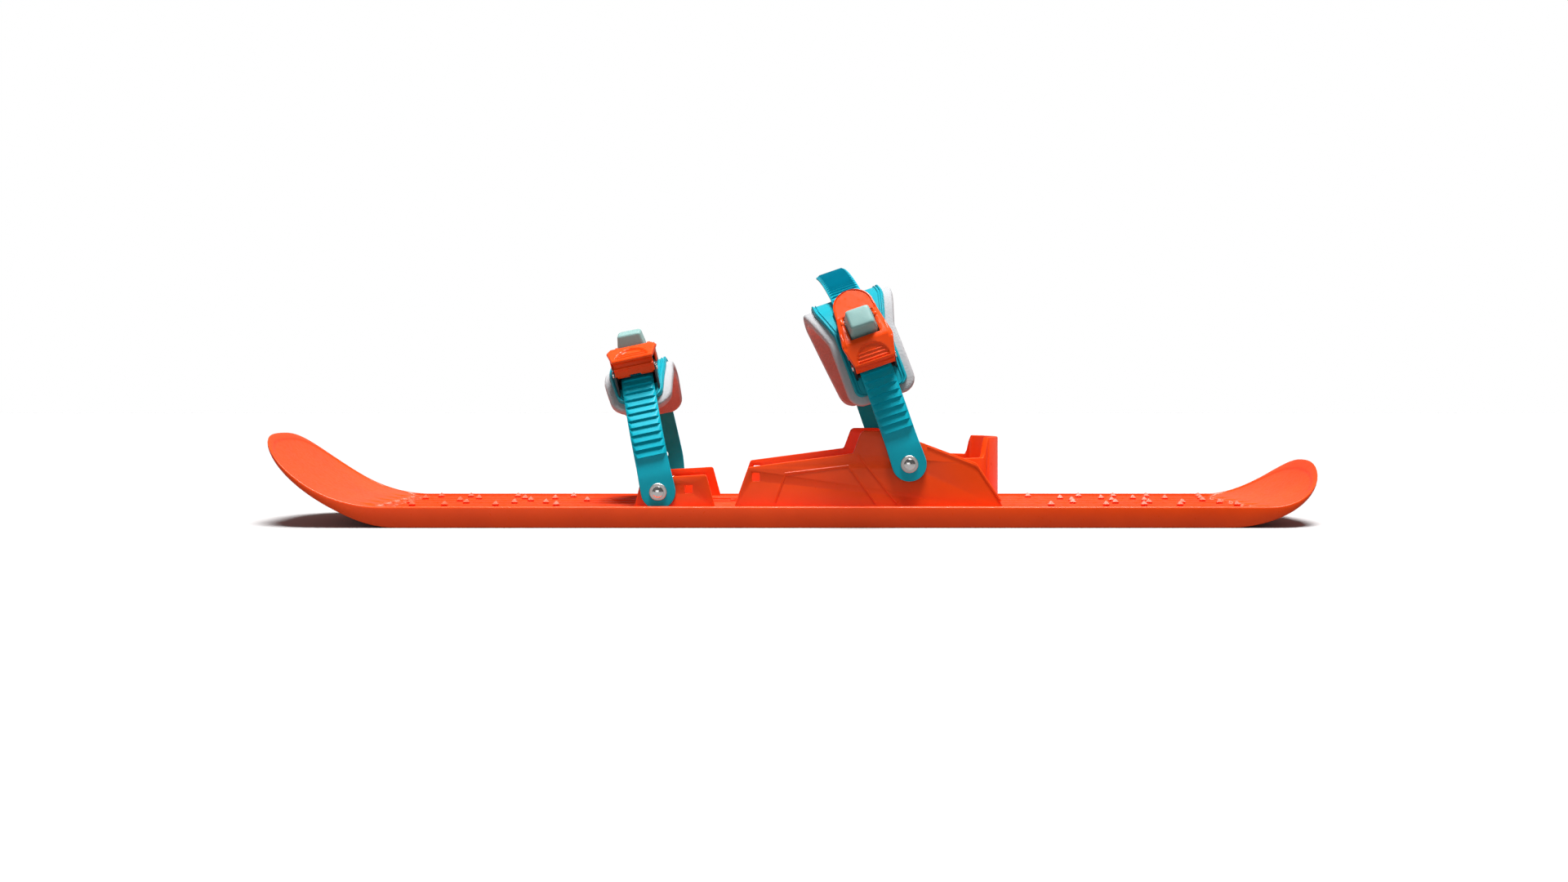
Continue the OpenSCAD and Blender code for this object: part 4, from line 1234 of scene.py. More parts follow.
@dataclass
class Strap:
    """One of the two straps, with its pad and its adjuster.

    Args:
        arch: the arch that it follows.
        ladder_w: width of the ladder strap.
        anchor_w: width of the anchor strap.
        strap_t: thickness of both.
        foot_r: radius of their round feet.
        tooth_pitch: distance between two teeth.
        tooth_h: height of a tooth.
        tooth_side: width of a tooth's sloping side.
        tooth_base: how much thinner the strap is under its teeth.
        plain_foot: height of the lowest tooth above the pivot.
        lift: how far the ladder strap runs above the plate in the buckle.
        plate_t: thickness of the pad's plate.
        foam_t: thickness of the foam.
        liner_t: thickness of the liner.
        liner_in: how much narrower the liner is on each side.
        layer_gap: gap between two layers.
        adjust_up: how far up from the plate's edge the adjusting screw sits.
        hole_pitch: distance between two adjusting holes.
        hole_r: radius of the holes.
        nut_room: radius of the room for the adjusting nut in the foam.
        rims: (start, end, rise, fall, height) of the plate's rims, measured from its edge.
        pad_corner: radius of the foam's and the liner's corners.
        plate_corner: radius of the plate's corners.
    """

    arch: Arch
    ladder_w: float = 17.2
    anchor_w: float = 20.6
    strap_t: float = 2.2
    foot_r: float = 9.0
    tooth_pitch: float = 4.0
    tooth_h: float = 1.25
    tooth_side: float = 1.6
    tooth_base: float = 0.9
    plain_foot: float = 18.7
    lift: float = 1.6
    plate_t: float = 2.2
    foam_t: float = 5.0
    liner_t: float = 1.4
    liner_in: float = 0.8
    layer_gap: float = 0.1
    adjust_up: float = 13.4
    hole_pitch: float = 16.5
    hole_r: float = 2.05
    nut_room: float = 4.5
    rims: tuple[tuple[float, ...], ...] = ((0.25, 1.2, 0.3, 0.4, 0.85), (2.1, 2.7, 0.3, 0.3, 0.65))
    pad_corner: float = 8.0
    plate_corner: float = 4.0

    @property
    def body(self) -> str:
        """Name of the body that the pad rides on."""
        return f"{self.arch.name}_strap"

    def ladder_path(self) -> Path:
        """Draws the line of the ladder strap's inner face, from its foot to its loose end.

        Returns:
            The line.
        """
        arch = self.arch
        base = arch.half_span + self.layer_gap
        points = [(-base, -self.foot_r, 0.0), (-base, 0.0, 0.0)]
        start = arch.base_low - 14
        for a in spaced(0, arch.base_end, 1.0):
            share = min(1.0, max(0.0, (a - start) / 14))
            points.append((*arch.at(a, self.layer_gap + (self.lift - self.layer_gap) * share), a))
        for r, length in arch.loose:
            y, h, a0 = points[-1]
            cy, ch = y + r * math.cos(radians(a0)), h - r * math.sin(radians(a0))
            for i in range(1, 13):
                a = a0 + math.degrees(length / r) * i / 12
                points.append((cy - r * math.cos(radians(a)), ch + r * math.sin(radians(a)), a))
        return Path(arch, points)

    def tooth(self, u: float, v: float, e: float, last: float) -> float:
        """Follows the teeth, wedges with a ledge towards the foot and sloping sides.

        Args:
            u: place along the strap from its pivot.
            v: place across it; not used.
            e: distance from its edge.
            last: where the teeth end.

        Returns:
            The height above the strap.
        """
        along = u - self.plain_foot
        if along < 0 or along >= last - self.plain_foot:
            return 0.0
        phase = along / self.tooth_pitch % 1.0
        return max(0.0, min(self.tooth_h * (1 - phase), (e - 0.3) * self.tooth_h / self.tooth_side))

    def foot_width(self, h: float, half: float, taper: float) -> float:
        """Widens a strap from its round foot to its own width.

        Args:
            h: height above the pivot.
            half: half of the strap's own width.
            taper: height at which the strap has its own width.

        Returns:
            Half of the width.
        """
        if h < 0:
            return math.sqrt(max(0.0, self.foot_r ** 2 - h * h))
        return self.foot_r + (half - self.foot_r) * smooth(h / taper)

    def ladder(self) -> None:
        """Makes the ladder strap."""
        path = self.ladder_path()
        pivot = self.foot_r
        ribbon = self.strap_t - self.tooth_base
        teeth = int((path.length - pivot - self.plain_foot - 2.5) / self.tooth_pitch)
        last = self.plain_foot + teeth * self.tooth_pitch
        stations = [pivot - self.foot_r * math.cos(radians(a)) for a in range(0, 90, 6)]
        stations += spaced(pivot, pivot + self.plain_foot - 1, 2.5)
        for k in range(teeth):
            start = pivot + self.plain_foot + k * self.tooth_pitch
            stations += [start + d for d in (-0.04, 0.02, 0.5, 1.0, 1.6, 2.2, 2.8, 3.4)]
        stations += with_ends(pivot + last, path.length, 0.5, 2.2)[7:]

        def half(u: float) -> float:
            """Returns half of the width at a place."""
            return self.foot_width(u - pivot, self.ladder_w / 2, 14) - drop(path.length - u, 2.2)

        def top(u: float, v: float, e: float) -> float:
            """Returns the height of the outer face."""
            thick = ribbon + (self.strap_t - ribbon) * (1 - smooth((u - pivot - 7) / 9))
            return thick + self.tooth(u - pivot, v, e, last)

        data = Slab(path.place, stations, half, top, lambda u, v, e: 0.0, 0.35,
                    (0.3, 0.6, 0.9, 1.2, 1.5, 1.9), 3).build()
        obj = make(f"{self.arch.name}_ladder_strap_teeth", data, STRAP, f"{self.arch.name}_ladder",
                   [f"{self.arch.name}_ladder_strap"], 28)
        self.bore(obj, -1)

    def bore(self, obj: bpy.types.Object, side: int) -> None:
        """Cuts the pivot hole into a strap.

        Args:
            obj: the strap.
            side: -1 for the near side, 1 for the far one.
        """
        x, z = self.arch.pivot
        low, high = self.arch.half_span - 1.3, self.arch.half_span + 3.7
        cutter = lathe([(0.001, low), (self.hole_r, low), (self.hole_r, high), (0.001, high)],
                       lambda a, b, h: Vector((x + a, side * h, z + b)), 24)
        subtract(obj, [cutter], 28)

    def adjust_at(self) -> float:
        """Returns the angle round the arch of the adjuster."""
        return 180 - self.arch.low[1] - math.degrees(self.adjust_up / self.arch.side_r)

    def anchor(self) -> None:
        """Makes the anchor strap with its adjusting holes."""
        arch = self.arch
        base = arch.half_span + self.layer_gap
        points = [(base, -self.foot_r, 180.0), (base, 0.0, 180.0)]
        top_angle = self.adjust_at() - 12
        points += [(*arch.at(a, self.layer_gap), a) for a in spaced(180, top_angle, 1.0)]
        path = Path(arch, points)
        pivot = self.foot_r
        stations = [pivot - self.foot_r * math.cos(radians(a)) for a in range(0, 90, 6)]
        stations += with_ends(pivot, path.length, 2.0, 5.0)[7:]

        def half(u: float) -> float:
            """Returns half of the width at a place."""
            return self.foot_width(u - pivot, self.anchor_w / 2, 16) - drop(path.length - u, 5.0)

        data = Slab(path.place, stations, half, lambda u, v, e: self.strap_t, lambda u, v, e: 0.0, 0.4,
                    (1.2,), 5).build()
        obj = make(f"{arch.name}_anchor_strap_band", data, STRAP, self.body, [f"{arch.name}_anchor_strap"], 28)
        cutters = []
        step = math.degrees(self.hole_pitch / arch.side_r)
        for k in (-1, 0, 1, 2, 3):
            a = self.adjust_at() + k * step
            if a < 178:
                cutters.append(self.peg(a, self.hole_r, -1, 4))
        subtract(obj, cutters, 28)
        self.bore(obj, 1)

    def peg(self, a: float, r: float, low: float, high: float) -> MeshData:
        """Makes a round bar that stands on the arch.

        Args:
            a: angle round the arch.
            r: radius.
            low: offset of its foot.
            high: offset of its end.

        Returns:
            A closed mesh.
        """
        y, h = self.arch.at(a, 0)
        c, s = math.cos(radians(a)), math.sin(radians(a))

        def place(p: float, q: float, n: float) -> Vector:
            """Returns a point of the bar."""
            return self.arch.world(p, y + q * s - n * c, h + q * c + n * s)

        return lathe([(0.001, low), (r, low), (r, high), (0.001, high)], place, 24)

    def pad_path(self, low: float) -> Path:
        """Draws the line of the pad's plate from its near lower end to its far one.

        Args:
            low: angle of the near end.

        Returns:
            The line.
        """
        arch = self.arch
        angles = spaced(low, 180 - low + arch.low[2], 1.0)
        return Path(arch, [(*arch.at(a, 0), a) for a in angles])

    def layer(self, name: str, finish: Finish, shape: tuple[float, float, float, float], inset: float, low: float,
              faces: Point2, corner: float, r: float, node: str,
              relief: Callable[[float, float, float], float] = lambda u, v, e: 0.0,
              edge: Sequence[float] = ()) -> bpy.types.Object:
        """Makes one layer of the pad.

        Args:
            name: the piece's name.
            finish: its finish.
            shape: (end width, top width, start of widening, end of widening).
            inset: how much narrower it is on each side.
            low: its lowest angle.
            faces: offsets of its inner and outer faces.
            corner: radius of its lower corners.
            r: radius of its edges.
            node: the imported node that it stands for.
            relief: what is added to its outer face.
            edge: distances from the edge that get a row of points.

        Returns:
            The piece.
        """
        path = self.pad_path(low)
        stations = with_ends(0, path.length, 2.0, corner)

        def half(u: float) -> float:
            """Narrows the layer towards its ends.

            Args:
                u: place along the path.

            Returns:
                Half of the width.
            """
            end, top, start, stop = shape
            if u > path.length / 2 and shape is self.arch.foam:
                start, stop = self.arch.far_taper
            f = min(1.0, max(0.0, (path.height(u) - start) / (stop - start)))
            to_end = min(u, path.length - u)
            return (end + (top - end) * f) / 2 - inset - drop(to_end, corner)

        data = Slab(path.place, stations, half, lambda u, v, e: faces[1] + relief(u, v, e),
                    lambda u, v, e: faces[0], r, edge, 7).build()
        return make(name, data, finish, self.body, [node], 40)

    def pads(self) -> None:
        """Makes the plate, the foam and the liner."""
        arch = self.arch
        name = arch.name

        def rims(u: float, v: float, e: float) -> float:
            """Returns the height of the rims at a distance e from the plate's edge, the same all round."""
            return sum(high * smooth((e - start) / rise) * (1 - smooth((e - end) / fall))
                       for start, end, rise, fall, high in self.rims)

        plate = self.layer(f"{name}_plate_shell", PLATE, arch.plate, 0.0, arch.low[1],
                           (-self.plate_t, -self.layer_gap), self.plate_corner, 0.35, f"{name}_pad_plate", rims,
                           (0.25, 0.55, 1.2, 1.6, 2.1, 2.4, 2.7, 3.0))
        foam_top = -self.plate_t - self.layer_gap
        foam = self.layer(f"{name}_foam_pad", FOAM, arch.foam, 0.0, arch.low[0], (foam_top - self.foam_t, foam_top),
                          self.pad_corner, 1.7, f"{name}_pad_foam")
        liner_top = foam_top - self.foam_t - self.layer_gap
        liner = self.layer(f"{name}_liner_cloth", LINER, arch.foam, self.liner_in, arch.low[0] + 1,
                           (liner_top - self.liner_t, liner_top), self.pad_corner, 0.65, f"{name}_pad_liner")
        subtract(plate, [self.peg(self.adjust_at(), self.hole_r, -6, 6)], 40)
        subtract(foam, [self.peg(self.adjust_at(), self.nut_room, -4.5, 6)], 40)

    def build(self) -> None:
        """Makes the strap's pieces."""
        self.ladder()
        self.anchor()
        self.pads()


@dataclass
class Buckle:
    """A ratchet buckle on a strap.

    Args:
        arch: the arch that it sits on.
        lever_w: overall width of the lever.
        lever_h: height of the lever's ridge above its pin.
        lever_t: thickness of the lever's cover.
        reach: reach of the tongue from the pin.
        tongue_w: width of the tongue.
        lip: (along, up) of the lip's edge.
        lip_t: thickness of the cover at its lip.
        moon: (radius, depth) of the half-moon at the lip.
        grip: (number, pitch, height) of the grips in the half-moon.
        ridge_t: place of the ridge along the buckle.
        frame_t: place of the frame's far end.
        frame_n: height of the frame's far end.
        window: (start, end, width) of the opening for the button.
        button_w: width of the button.
        button_h: height of the button's top above the lever pin.
        button_foot: height of its foot.
        button_r: radius of its top's edges.
        button_span: (front, back) of it at its foot.
        button_lean: how far its front and its back lean inwards up to its top.
        button_pin: (along, up) of the button's pin.
        lock_pin: the same of the lock pawl's pin.
        drive_pin: the same of the drive pawl's pin.
        cheek_in: half of the distance between the cheeks.
        base_t: thickness of the cheeks.
        floor_t: thickness of the base's floor.
        knuckle_w: width of the knuckles on the lever pin.
        pin_r: radius of the lever pin.
        small_pin_r: radius of the small pins.
        coil: (turns, wire radius, width) of the springs.
    """

    arch: Arch
    lever_w: float = 27.2
    lever_h: float = 12.2
    lever_t: float = 2.4
    reach: float = 42.5
    tongue_w: float = 21.6
    lip: Point2 = (-4.9, 8.0)
    lip_t: float = 1.7
    moon: Point2 = (8.8, 1.05)
    grip: tuple[int, float, float] = (3, 1.8, 0.6)
    ridge_t: float = 6.7
    frame_t: float = 25.9
    frame_n: float = 9.2
    window: tuple[float, float, float] = (9.5, 24.9, 15.6)
    button_w: float = 15.2
    button_h: float = 18.5
    button_foot: float = 7.4
    button_r: float = 1.5
    button_span: Point2 = (10.3, 24.1)
    button_lean: Point2 = (1.2, 0.9)
    button_pin: Point2 = (21.3, 8.6)
    lock_pin: Point2 = (20.0, 4.6)
    drive_pin: Point2 = (6.2, 3.0)
    cheek_in: float = 10.2
    base_t: float = 1.1
    floor_t: float = 1.2
    knuckle_w: float = 19.6
    pin_r: float = 1.25
    small_pin_r: float = 0.9
    coil: tuple[int, float, float] = (5, 0.36, 3.9)

    @property
    def cheek_out(self) -> float:
        """Half of the distance over the cheeks."""
        return self.cheek_in + self.base_t

    def flat(self, outline: Sequence[Point2], low: float, high: float, bevel: float = 0.3,
             holes: Sequence[Sequence[Point2]] = ()) -> MeshData:
        """Returns a plate in the buckle's side view, between two places across it.

        Args:
            outline: its outline as (along, up).
            low: its lower place across.
            high: its higher place across.
            bevel: radius of its edges.
            holes: outlines of its holes.
        """
        data = cut_plate(outline, high - low, bevel, holes)
        return mapped(data, lambda v: self.arch.buckle(v.x, (low + high) / 2 + v.z, v.y))

    def bar(self, t: float, n: float, r: float, low: float, high: float, edge: float = 0.2) -> MeshData:
        """Returns a round bar across the buckle."""
        profile = [(0.001, low), (r - edge, low), (r, low + edge), (r, high - edge), (r - edge, high), (0.001, high)]
        return lathe(profile, lambda a, b, h: self.arch.buckle(t + a, h, n + b), 28)

    def crown(self, t: float) -> float:
        """Returns the height of the lever's top along its middle."""
        knots = [(self.lip[0], self.lip[1]), (self.ridge_t - 1.8, self.lever_h - 0.65),
                 (self.ridge_t - 0.5, self.lever_h - 0.15), (self.ridge_t + 0.6, self.lever_h),
                 (self.window[0], self.lever_h - 0.2),
                 (self.frame_t, self.frame_n), (self.frame_t + 0.5, self.frame_n - 1.6),
                 (self.reach, self.frame_n - 2.7)]
        return line_through(knots, t)

    def plan(self, t: float) -> float:
        """Follows the lever's outline from above.

        Args:
            t: place along the buckle.

        Returns:
            Half of the lever's width.
        """
        wide = self.lever_w / 2
        r = self.tongue_w / 2
        knots = [(self.lip[0], r), (self.ridge_t - 3.2, wide - 0.75), (self.ridge_t - 1.4, wide - 0.22),
                 (self.ridge_t, wide), (self.ridge_t + 1.6, wide - 0.05), (self.ridge_t + 4, wide - 0.45),
                 (self.frame_t, r + 0.5), (self.reach - r, r)]
        if t > knots[-1][0]:
            return math.sqrt(max(0.0, r * r - (t - knots[-1][0]) ** 2))
        return line_through(knots, t)

    def lever_top(self, t: float, v: float, e: float) -> float:
        """Follows the lever's upper face with its half-moon, its grips and its frame.

        Args:
            t: place along the buckle.
            v: place across it.
            e: distance from the edge.

        Returns:
            Its height above the pin.
        """
        n = self.crown(t)
        lip_t = self.lip[0] + 0.9
        if t < self.ridge_t - 0.3:
            count, pitch, high = self.grip
            inside = smooth((self.moon[0] - math.hypot(t - lip_t, v)) / 0.45) * smooth((t - lip_t) / 0.4)
            n -= self.moon[1] * inside
            for k in range(count):
                n += high * inside * max(0.0, 1 - abs(t - lip_t - 1.4 - pitch * k) / 0.5)
        if t > self.frame_t + 0.4:
            return n + 0.5 * (1 - smooth((e - 0.7) / 0.5)) * smooth((t - self.frame_t - 0.4) / 1.5)
        slope = smooth((t - self.ridge_t + 3) / 3)
        n -= 1.5 * max(0.0, 1 - e / 2.4) * slope
        if self.window[0] - 0.6 < t < self.window[1] + 0.6:
            n -= min(0.9, max(0.0, self.window[2] / 2 + 0.9 - abs(v)))
        return n

    def lever(self) -> None:
        """Makes the lever."""
        arch = self.arch
        name = arch.name
        r = self.tongue_w / 2
        stations = spaced(self.lip[0], self.ridge_t, 0.36) + spaced(self.ridge_t + 0.3, self.frame_t - 0.1, 0.6)
        stations += [self.frame_t, self.frame_t + 0.25, self.frame_t + 0.5]
        stations += spaced(self.frame_t + 1.0, self.reach - r, 1.2)
        turns = (5, 10, 20, 30, 40, 50, 60, 68, 75, 81, 86, 90)
        stations += [self.reach - r + r * math.sin(radians(a)) for a in turns]

        def bottom(t: float, v: float, e: float) -> float:
            """Returns the height of the lower face."""
            thick = self.lip_t + (self.lever_t - self.lip_t) * smooth((t - self.lip[0] - 0.8) / 2.2)
            return self.crown(t) - thick + 0.3 * smooth((t - self.frame_t) / 4)

        cover = Slab(arch.buckle, stations, self.plan, self.lever_top, bottom, 0.5, (0.7, 1.2, 2.4, 2.6, 3.2), 27)
        obj = make(f"{name}_lever_cover", cover.build(), LEVER, f"{name}_lever", [f"{name}_lever"], 30)
        low, high, wide = self.window
        subtract(obj, [box((low, -wide / 2, 0), (high, wide / 2, 30), arch.buckle)], 30)
        self.lever_body()

    def lever_body(self) -> None:
        """Makes what hangs under the lever's cover: knuckles, stepped face, skirts, ears and lugs."""
        name = self.arch.name
        lip_t, lip_n = self.lip
        hole = [ring(self.pin_r + 0.05, 20)]
        block = rounded([(lip_t + 1.6, -1), (lip_t + 2.3, 3.5), (lip_t + 2.4, lip_n - 1.2), (lip_t + 6, lip_n + 1),
                         (2.6, 3), (2.4, -0.8), (0.6, -2.6), (-1.4, -2.3)], 0.7)
        parts = []
        for a, b in ((-self.knuckle_w / 2, -2.9), (2.9, self.knuckle_w / 2)):
            parts.append(self.flat(block, a, b, 0.3, hole))
        face = rounded([(lip_t + 1.2, -0.9), (lip_t + 2.0, 2.3), (lip_t + 0.6, 2.7), (lip_t + 0.6, 3.4),
                        (lip_t + 1.6, 3.8), (lip_t + 2.4, lip_n - 1.2), (lip_t + 3.4, lip_n - 1.2),
                        (lip_t + 3.0, -0.9)], 0.15, 2)
        parts.append(self.flat(face, -self.tongue_w / 2 + 0.2, self.tongue_w / 2 - 0.2, 0.1))
        skirt = rounded([(self.ridge_t - 2.9, 1.6), (self.ridge_t - 4.2, 9), (self.ridge_t, self.lever_h - 0.6),
                         (self.ridge_t + 9, self.lever_h - 1.6), (self.ridge_t + 9, self.lever_h - 4),
                         (self.ridge_t + 5, 3.4)], 0.8)
        ear = [(4.2, 1.4), (3.4, 9.2), (9.3, 10.2), (8.2, 3.6), (8.0, 1.6)]
        lug = ring(self.small_pin_r + 1.1, 20, self.button_pin)
        pairs = [(skirt, self.cheek_out + 0.2, self.lever_w / 2 - 1.3, []),
                 (ear, 4.4, 6.0, [ring(self.small_pin_r - 0.05, 16, self.drive_pin)]),
                 (lug, 7.85, 9.6, [ring(self.small_pin_r + 0.05, 16, self.button_pin)])]
        for side in (-1, 1):
            for plate, inner, outer, holes in pairs:
                a, b = sorted((side * inner, side * outer))
                parts.append(self.flat(plate, a, b, 0.2, holes))
        make(f"{name}_lever_body", merge(*parts), LEVER, f"{name}_lever", (), 30)

    def button(self) -> None:
        """Makes the release button."""
        name = self.arch.name
        foot, top, r = self.button_foot, self.button_h, self.button_r
        (front, back), lean = self.button_span, self.button_lean
        heights = [foot, foot + 0.12, foot + 0.5] + spaced(foot + 1, top - r, 1.0)
        heights += [top - r * f for f in (0.8, 0.6, 0.42, 0.27, 0.14, 0.05, 0.0)]
        loops = []
        for n in heights:
            share = (n - foot) / (top - foot)
            inset = drop(top - n, r) + drop(n - foot, 0.5)
            t0, t1 = front + lean[0] * share + inset, back - lean[1] * share - inset
            half = self.button_w / 2 - 0.15 - 1.1 * smooth((n - self.lever_h + 2) / (top - self.lever_h + 2)) - inset
            section = rounded([(t0, -half), (t1, -half), (t1, half), (t0, half)], 1.7, 4)
            loops.append([self.arch.buckle(t, v, n) for t, v in section])
        middle = self.arch.buckle(17.4, 0, top + 0.3)
        loops += [[middle + (p - middle) * f for p in loops[-1]] for f in (0.7, 0.35)]
        obj = make(f"{name}_release_button_block", loft(loops), BUTTON, f"{name}_release_button",
                   [f"{name}_release_button"], 35)
        hub = self.bar(*self.button_pin, self.small_pin_r + 0.05, -20, 20)
        slot = box((18.9, -2.8, -1), (23.7, 2.8, 11.0), self.arch.buckle)
        subtract(obj, [hub, slot], 35)

    def springs(self) -> None:
        """Makes the two torsion springs as coils."""
        name = self.arch.name
        steps, sides = 24, 8
        turns, wire, wide = self.coil
        for label, t, n, r, body in (("lever_spring", 0.0, 0.0, self.pin_r, f"{name}_strap"),
                                     ("button_spring", *self.button_pin, self.small_pin_r, f"{name}_lever")):
            loops = []
            for i in range(turns * steps + 1):
                a = 2 * math.pi * i / steps
                across = wide * i / (turns * steps) - wide / 2
                loop = []
                for x, y in ring(wire, sides):
                    out = r + 0.55 + x
                    loop.append(self.arch.buckle(t + out * math.cos(a), across + y, n + out * math.sin(a)))
                loops.append(loop)
            make(f"{name}_{label}_coil", loft(loops), SPRING, body, [f"{name}_{label}"], 50)

    def base(self) -> None:
        """Makes the steel base with its two cheeks."""
        arch = self.arch
        name = arch.name
        angles = spaced(arch.base_low, arch.base_end, 1.0)
        path = Path(arch, [(*arch.at(a, 0), a) for a in angles])
        half = self.cheek_in + 0.3
        floor = Slab(path.place, spaced(0, path.length, 1.5), lambda u: half, lambda u, v, e: self.floor_t,
                     lambda u, v, e: 0.02, 0.3, (), 4).build()
        back = self.window[1] + 6
        cheek = [(-2.9, arch.plate_n(-2.9) + 0.1), (-2.9, 0.8), (-2.0, 2.3), (-0.4, 3.0), (1.4, 3.3),
                 (19.0, 7.0), (20.6, 7.15), (22.0, 6.4), (back, arch.plate_n(back) + 4),
                 (back + 0.6, arch.plate_n(back + 0.6) + 0.1)]
        cheek += [(t, arch.plate_n(t) + 0.1) for t in (26, 20, 14, 8, 2)]
        holes = [ring(self.pin_r + 0.05, 20), ring(self.small_pin_r + 0.05, 20, self.lock_pin)]
        parts = [floor]
        for side in (-1, 1):
            a, b = sorted((side * self.cheek_in, side * self.cheek_out))
            parts.append(self.flat(cheek, a, b, 0.2, holes))
        make(f"{name}_buckle_base_plate", merge(*parts), BASE, f"{name}_strap", [f"{name}_buckle_base"], 35)

    def build(self) -> None:
        """Makes the buckle's pieces."""
        self.base()
        self.lever()
        self.button()
        self.springs()


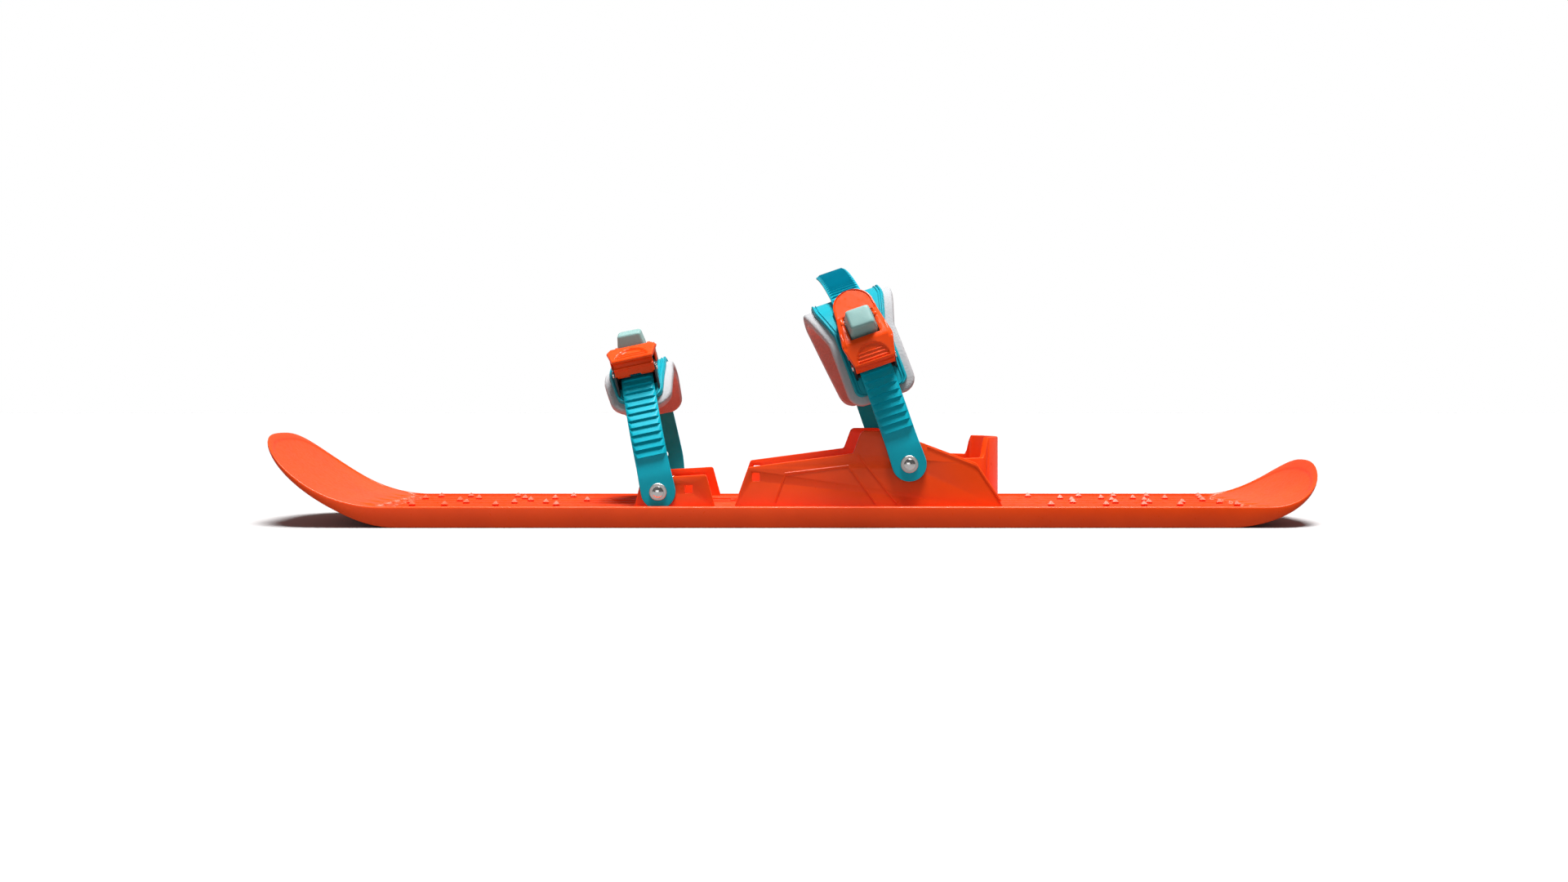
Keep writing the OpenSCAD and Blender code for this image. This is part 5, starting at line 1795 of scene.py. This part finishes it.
@dataclass
class Studio:
    """Floor, lights and camera.

    Args:
        focal_px: focal length in pixels of a picture 1920 wide.
        camera: place of the camera.
        shift: shift of the picture in pixels.
        width_px: width of the picture.
        sensor: width of the camera's sensor in millimetres.
        floor_grey: how light the floor looks.
        bounce: how much of the light the floor throws back at the ski.
        ambient: light that comes from the front.
        backdrop: light that comes from behind.
        overhead: strength of the soft light from above.
        spread: angle of that light in degrees.
        lean: its rotation in degrees.
        floor_half: half of the floor's side.
        fill_at: place of the softbox at the front.
        fill_turn: its rotation in degrees.
        fill_size: its width and height.
        fill_power: its power in watts.
    """

    focal_px: float = 1867.0
    camera: tuple[float, float, float] = (-0.01351, -0.841, 0.06404)
    shift: Point2 = (20.0, -46.0)
    width_px: float = 1920.0
    sensor: float = 36.0
    floor_grey: float = 0.46
    bounce: float = 0.22
    ambient: float = 0.10
    backdrop: float = 0.30
    overhead: float = 6.8
    spread: float = 24.0
    lean: tuple[float, float, float] = (4.5, 4.0, 0.0)
    floor_half: float = 9.0
    fill_at: tuple[float, float, float] = (-0.3, -1.4, 0.3)
    fill_turn: tuple[float, float, float] = (80.0, 0.0, -12.0)
    fill_size: Point2 = (1.0, 0.5)
    fill_power: float = 2.0

    @staticmethod
    def split_rays(tree: bpy.types.NodeTree, light: bpy.types.NodeSocket, seen: bpy.types.NodeSocket,
                   output: str) -> None:
        """Shows one shader to the camera and another to the light.

        Args:
            tree: the node tree.
            light: the shader that lights the ski.
            seen: the shader that the camera sees.
            output: name of the output node.
        """
        rays = tree.nodes.new("ShaderNodeLightPath")
        mix = tree.nodes.new("ShaderNodeMixShader")
        tree.links.new(rays.outputs["Is Camera Ray"], mix.inputs["Fac"])
        tree.links.new(light, mix.inputs[1])
        tree.links.new(seen, mix.inputs[2])
        tree.links.new(mix.outputs["Shader"], tree.nodes[output].inputs["Surface"])

    def build(self) -> None:
        """Makes the floor, the lights and the camera."""
        self.floor()
        self.world()
        self.lights()
        self.view()

    def lights(self) -> None:
        """Makes the soft light above and the softbox at the front."""
        sun = bpy.data.lights.new("overhead", "SUN")
        sun.energy, sun.angle = self.overhead, radians(self.spread)
        fill = bpy.data.lights.new("front_fill", "AREA")
        fill.shape, fill.energy = "RECTANGLE", self.fill_power
        fill.size, fill.size_y = self.fill_size
        for data, place, turn in ((sun, (0.0, 0.0, 0.0), self.lean), (fill, self.fill_at, self.fill_turn)):
            obj = bpy.data.objects.new(data.name, data)
            obj.location = place
            obj.rotation_euler = tuple(radians(a) for a in turn)
            bpy.context.scene.collection.objects.link(obj)

    def floor(self) -> None:
        """Makes the pale floor."""
        mesh = bpy.data.meshes.new("studio_floor")
        h = self.floor_half
        mesh.from_pydata([(-h, -h, 0), (h, -h, 0), (h, h, 0), (-h, h, 0)], [], [(0, 1, 2, 3)])
        floor = bpy.data.objects.new("studio_floor", mesh)
        bpy.context.scene.collection.objects.link(floor)
        mat = bpy.data.materials.new("studio_floor")
        mat.use_nodes = True
        tree = mat.node_tree
        tree.nodes.remove(tree.nodes["Principled BSDF"])
        faces = []
        for grey in (self.bounce, self.floor_grey):
            face = tree.nodes.new("ShaderNodeBsdfDiffuse")
            face.inputs["Color"].default_value = (grey, grey, grey, 1)
            faces.append(face.outputs["BSDF"])
        self.split_rays(tree, *faces, "Material Output")
        mesh.materials.append(mat)

    def world(self) -> None:
        """Makes the white backdrop and the soft light that comes from it."""
        world = bpy.data.worlds.new("studio")
        bpy.context.scene.world = world
        world.use_nodes = True
        tree = world.node_tree
        plain = tree.nodes["Background"]
        seen = tree.nodes.new("ShaderNodeBackground")
        for shade in (plain, seen):
            shade.inputs["Color"].default_value = (1, 1, 1, 1)
        seen.inputs["Strength"].default_value = 1.0
        coords = tree.nodes.new("ShaderNodeTexCoord")
        split = tree.nodes.new("ShaderNodeSeparateXYZ")
        level = tree.nodes.new("ShaderNodeMapRange")
        level.interpolation_type = "SMOOTHSTEP"
        span = (("From Min", -0.1), ("From Max", 0.6), ("To Min", self.ambient), ("To Max", self.backdrop))
        for name, number in span:
            level.inputs[name].default_value = number
        tree.links.new(coords.outputs["Generated"], split.inputs["Vector"])
        tree.links.new(split.outputs["Y"], level.inputs["Value"])
        tree.links.new(level.outputs["Result"], plain.inputs["Strength"])
        self.split_rays(tree, plain.outputs["Background"], seen.outputs["Background"], "World Output")

    def view(self) -> None:
        """Sets the camera at the photograph's angle."""
        scene = bpy.context.scene
        data = bpy.data.cameras.new("camera")
        camera = bpy.data.objects.new("camera", data)
        scene.collection.objects.link(camera)
        scene.camera = camera
        camera.location = self.camera
        camera.rotation_euler = (math.pi / 2, 0, 0)
        data.sensor_width = self.sensor
        data.lens = self.focal_px * self.sensor / self.width_px
        data.shift_x = self.shift[0] / self.width_px
        data.shift_y = self.shift[1] / self.width_px
        data.clip_start = 0.01
        scene.view_settings.view_transform = "Standard"


def dress_nodes() -> None:
    """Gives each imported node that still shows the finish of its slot."""
    slots = {row["node"]: row["material_slot"] for row in frame["record"]["subparts"]}
    for name, obj in frame["nodes"].items():
        material = FINISHES[slots[name]].material()
        obj.data.materials.clear()
        obj.data.materials.append(material)


def main() -> None:
    """Builds the ski, its straps, its buckles and the studio."""
    logging.basicConfig(level=logging.INFO, format="%(name)s: %(message)s")
    dress_nodes()
    SkiShell().build()
    PivotHardware().build()
    for arch in (FRONT, REAR):
        Strap(arch).build()
        Buckle(arch).build()
    Studio().build()


if __name__ == "__main__":
    main()
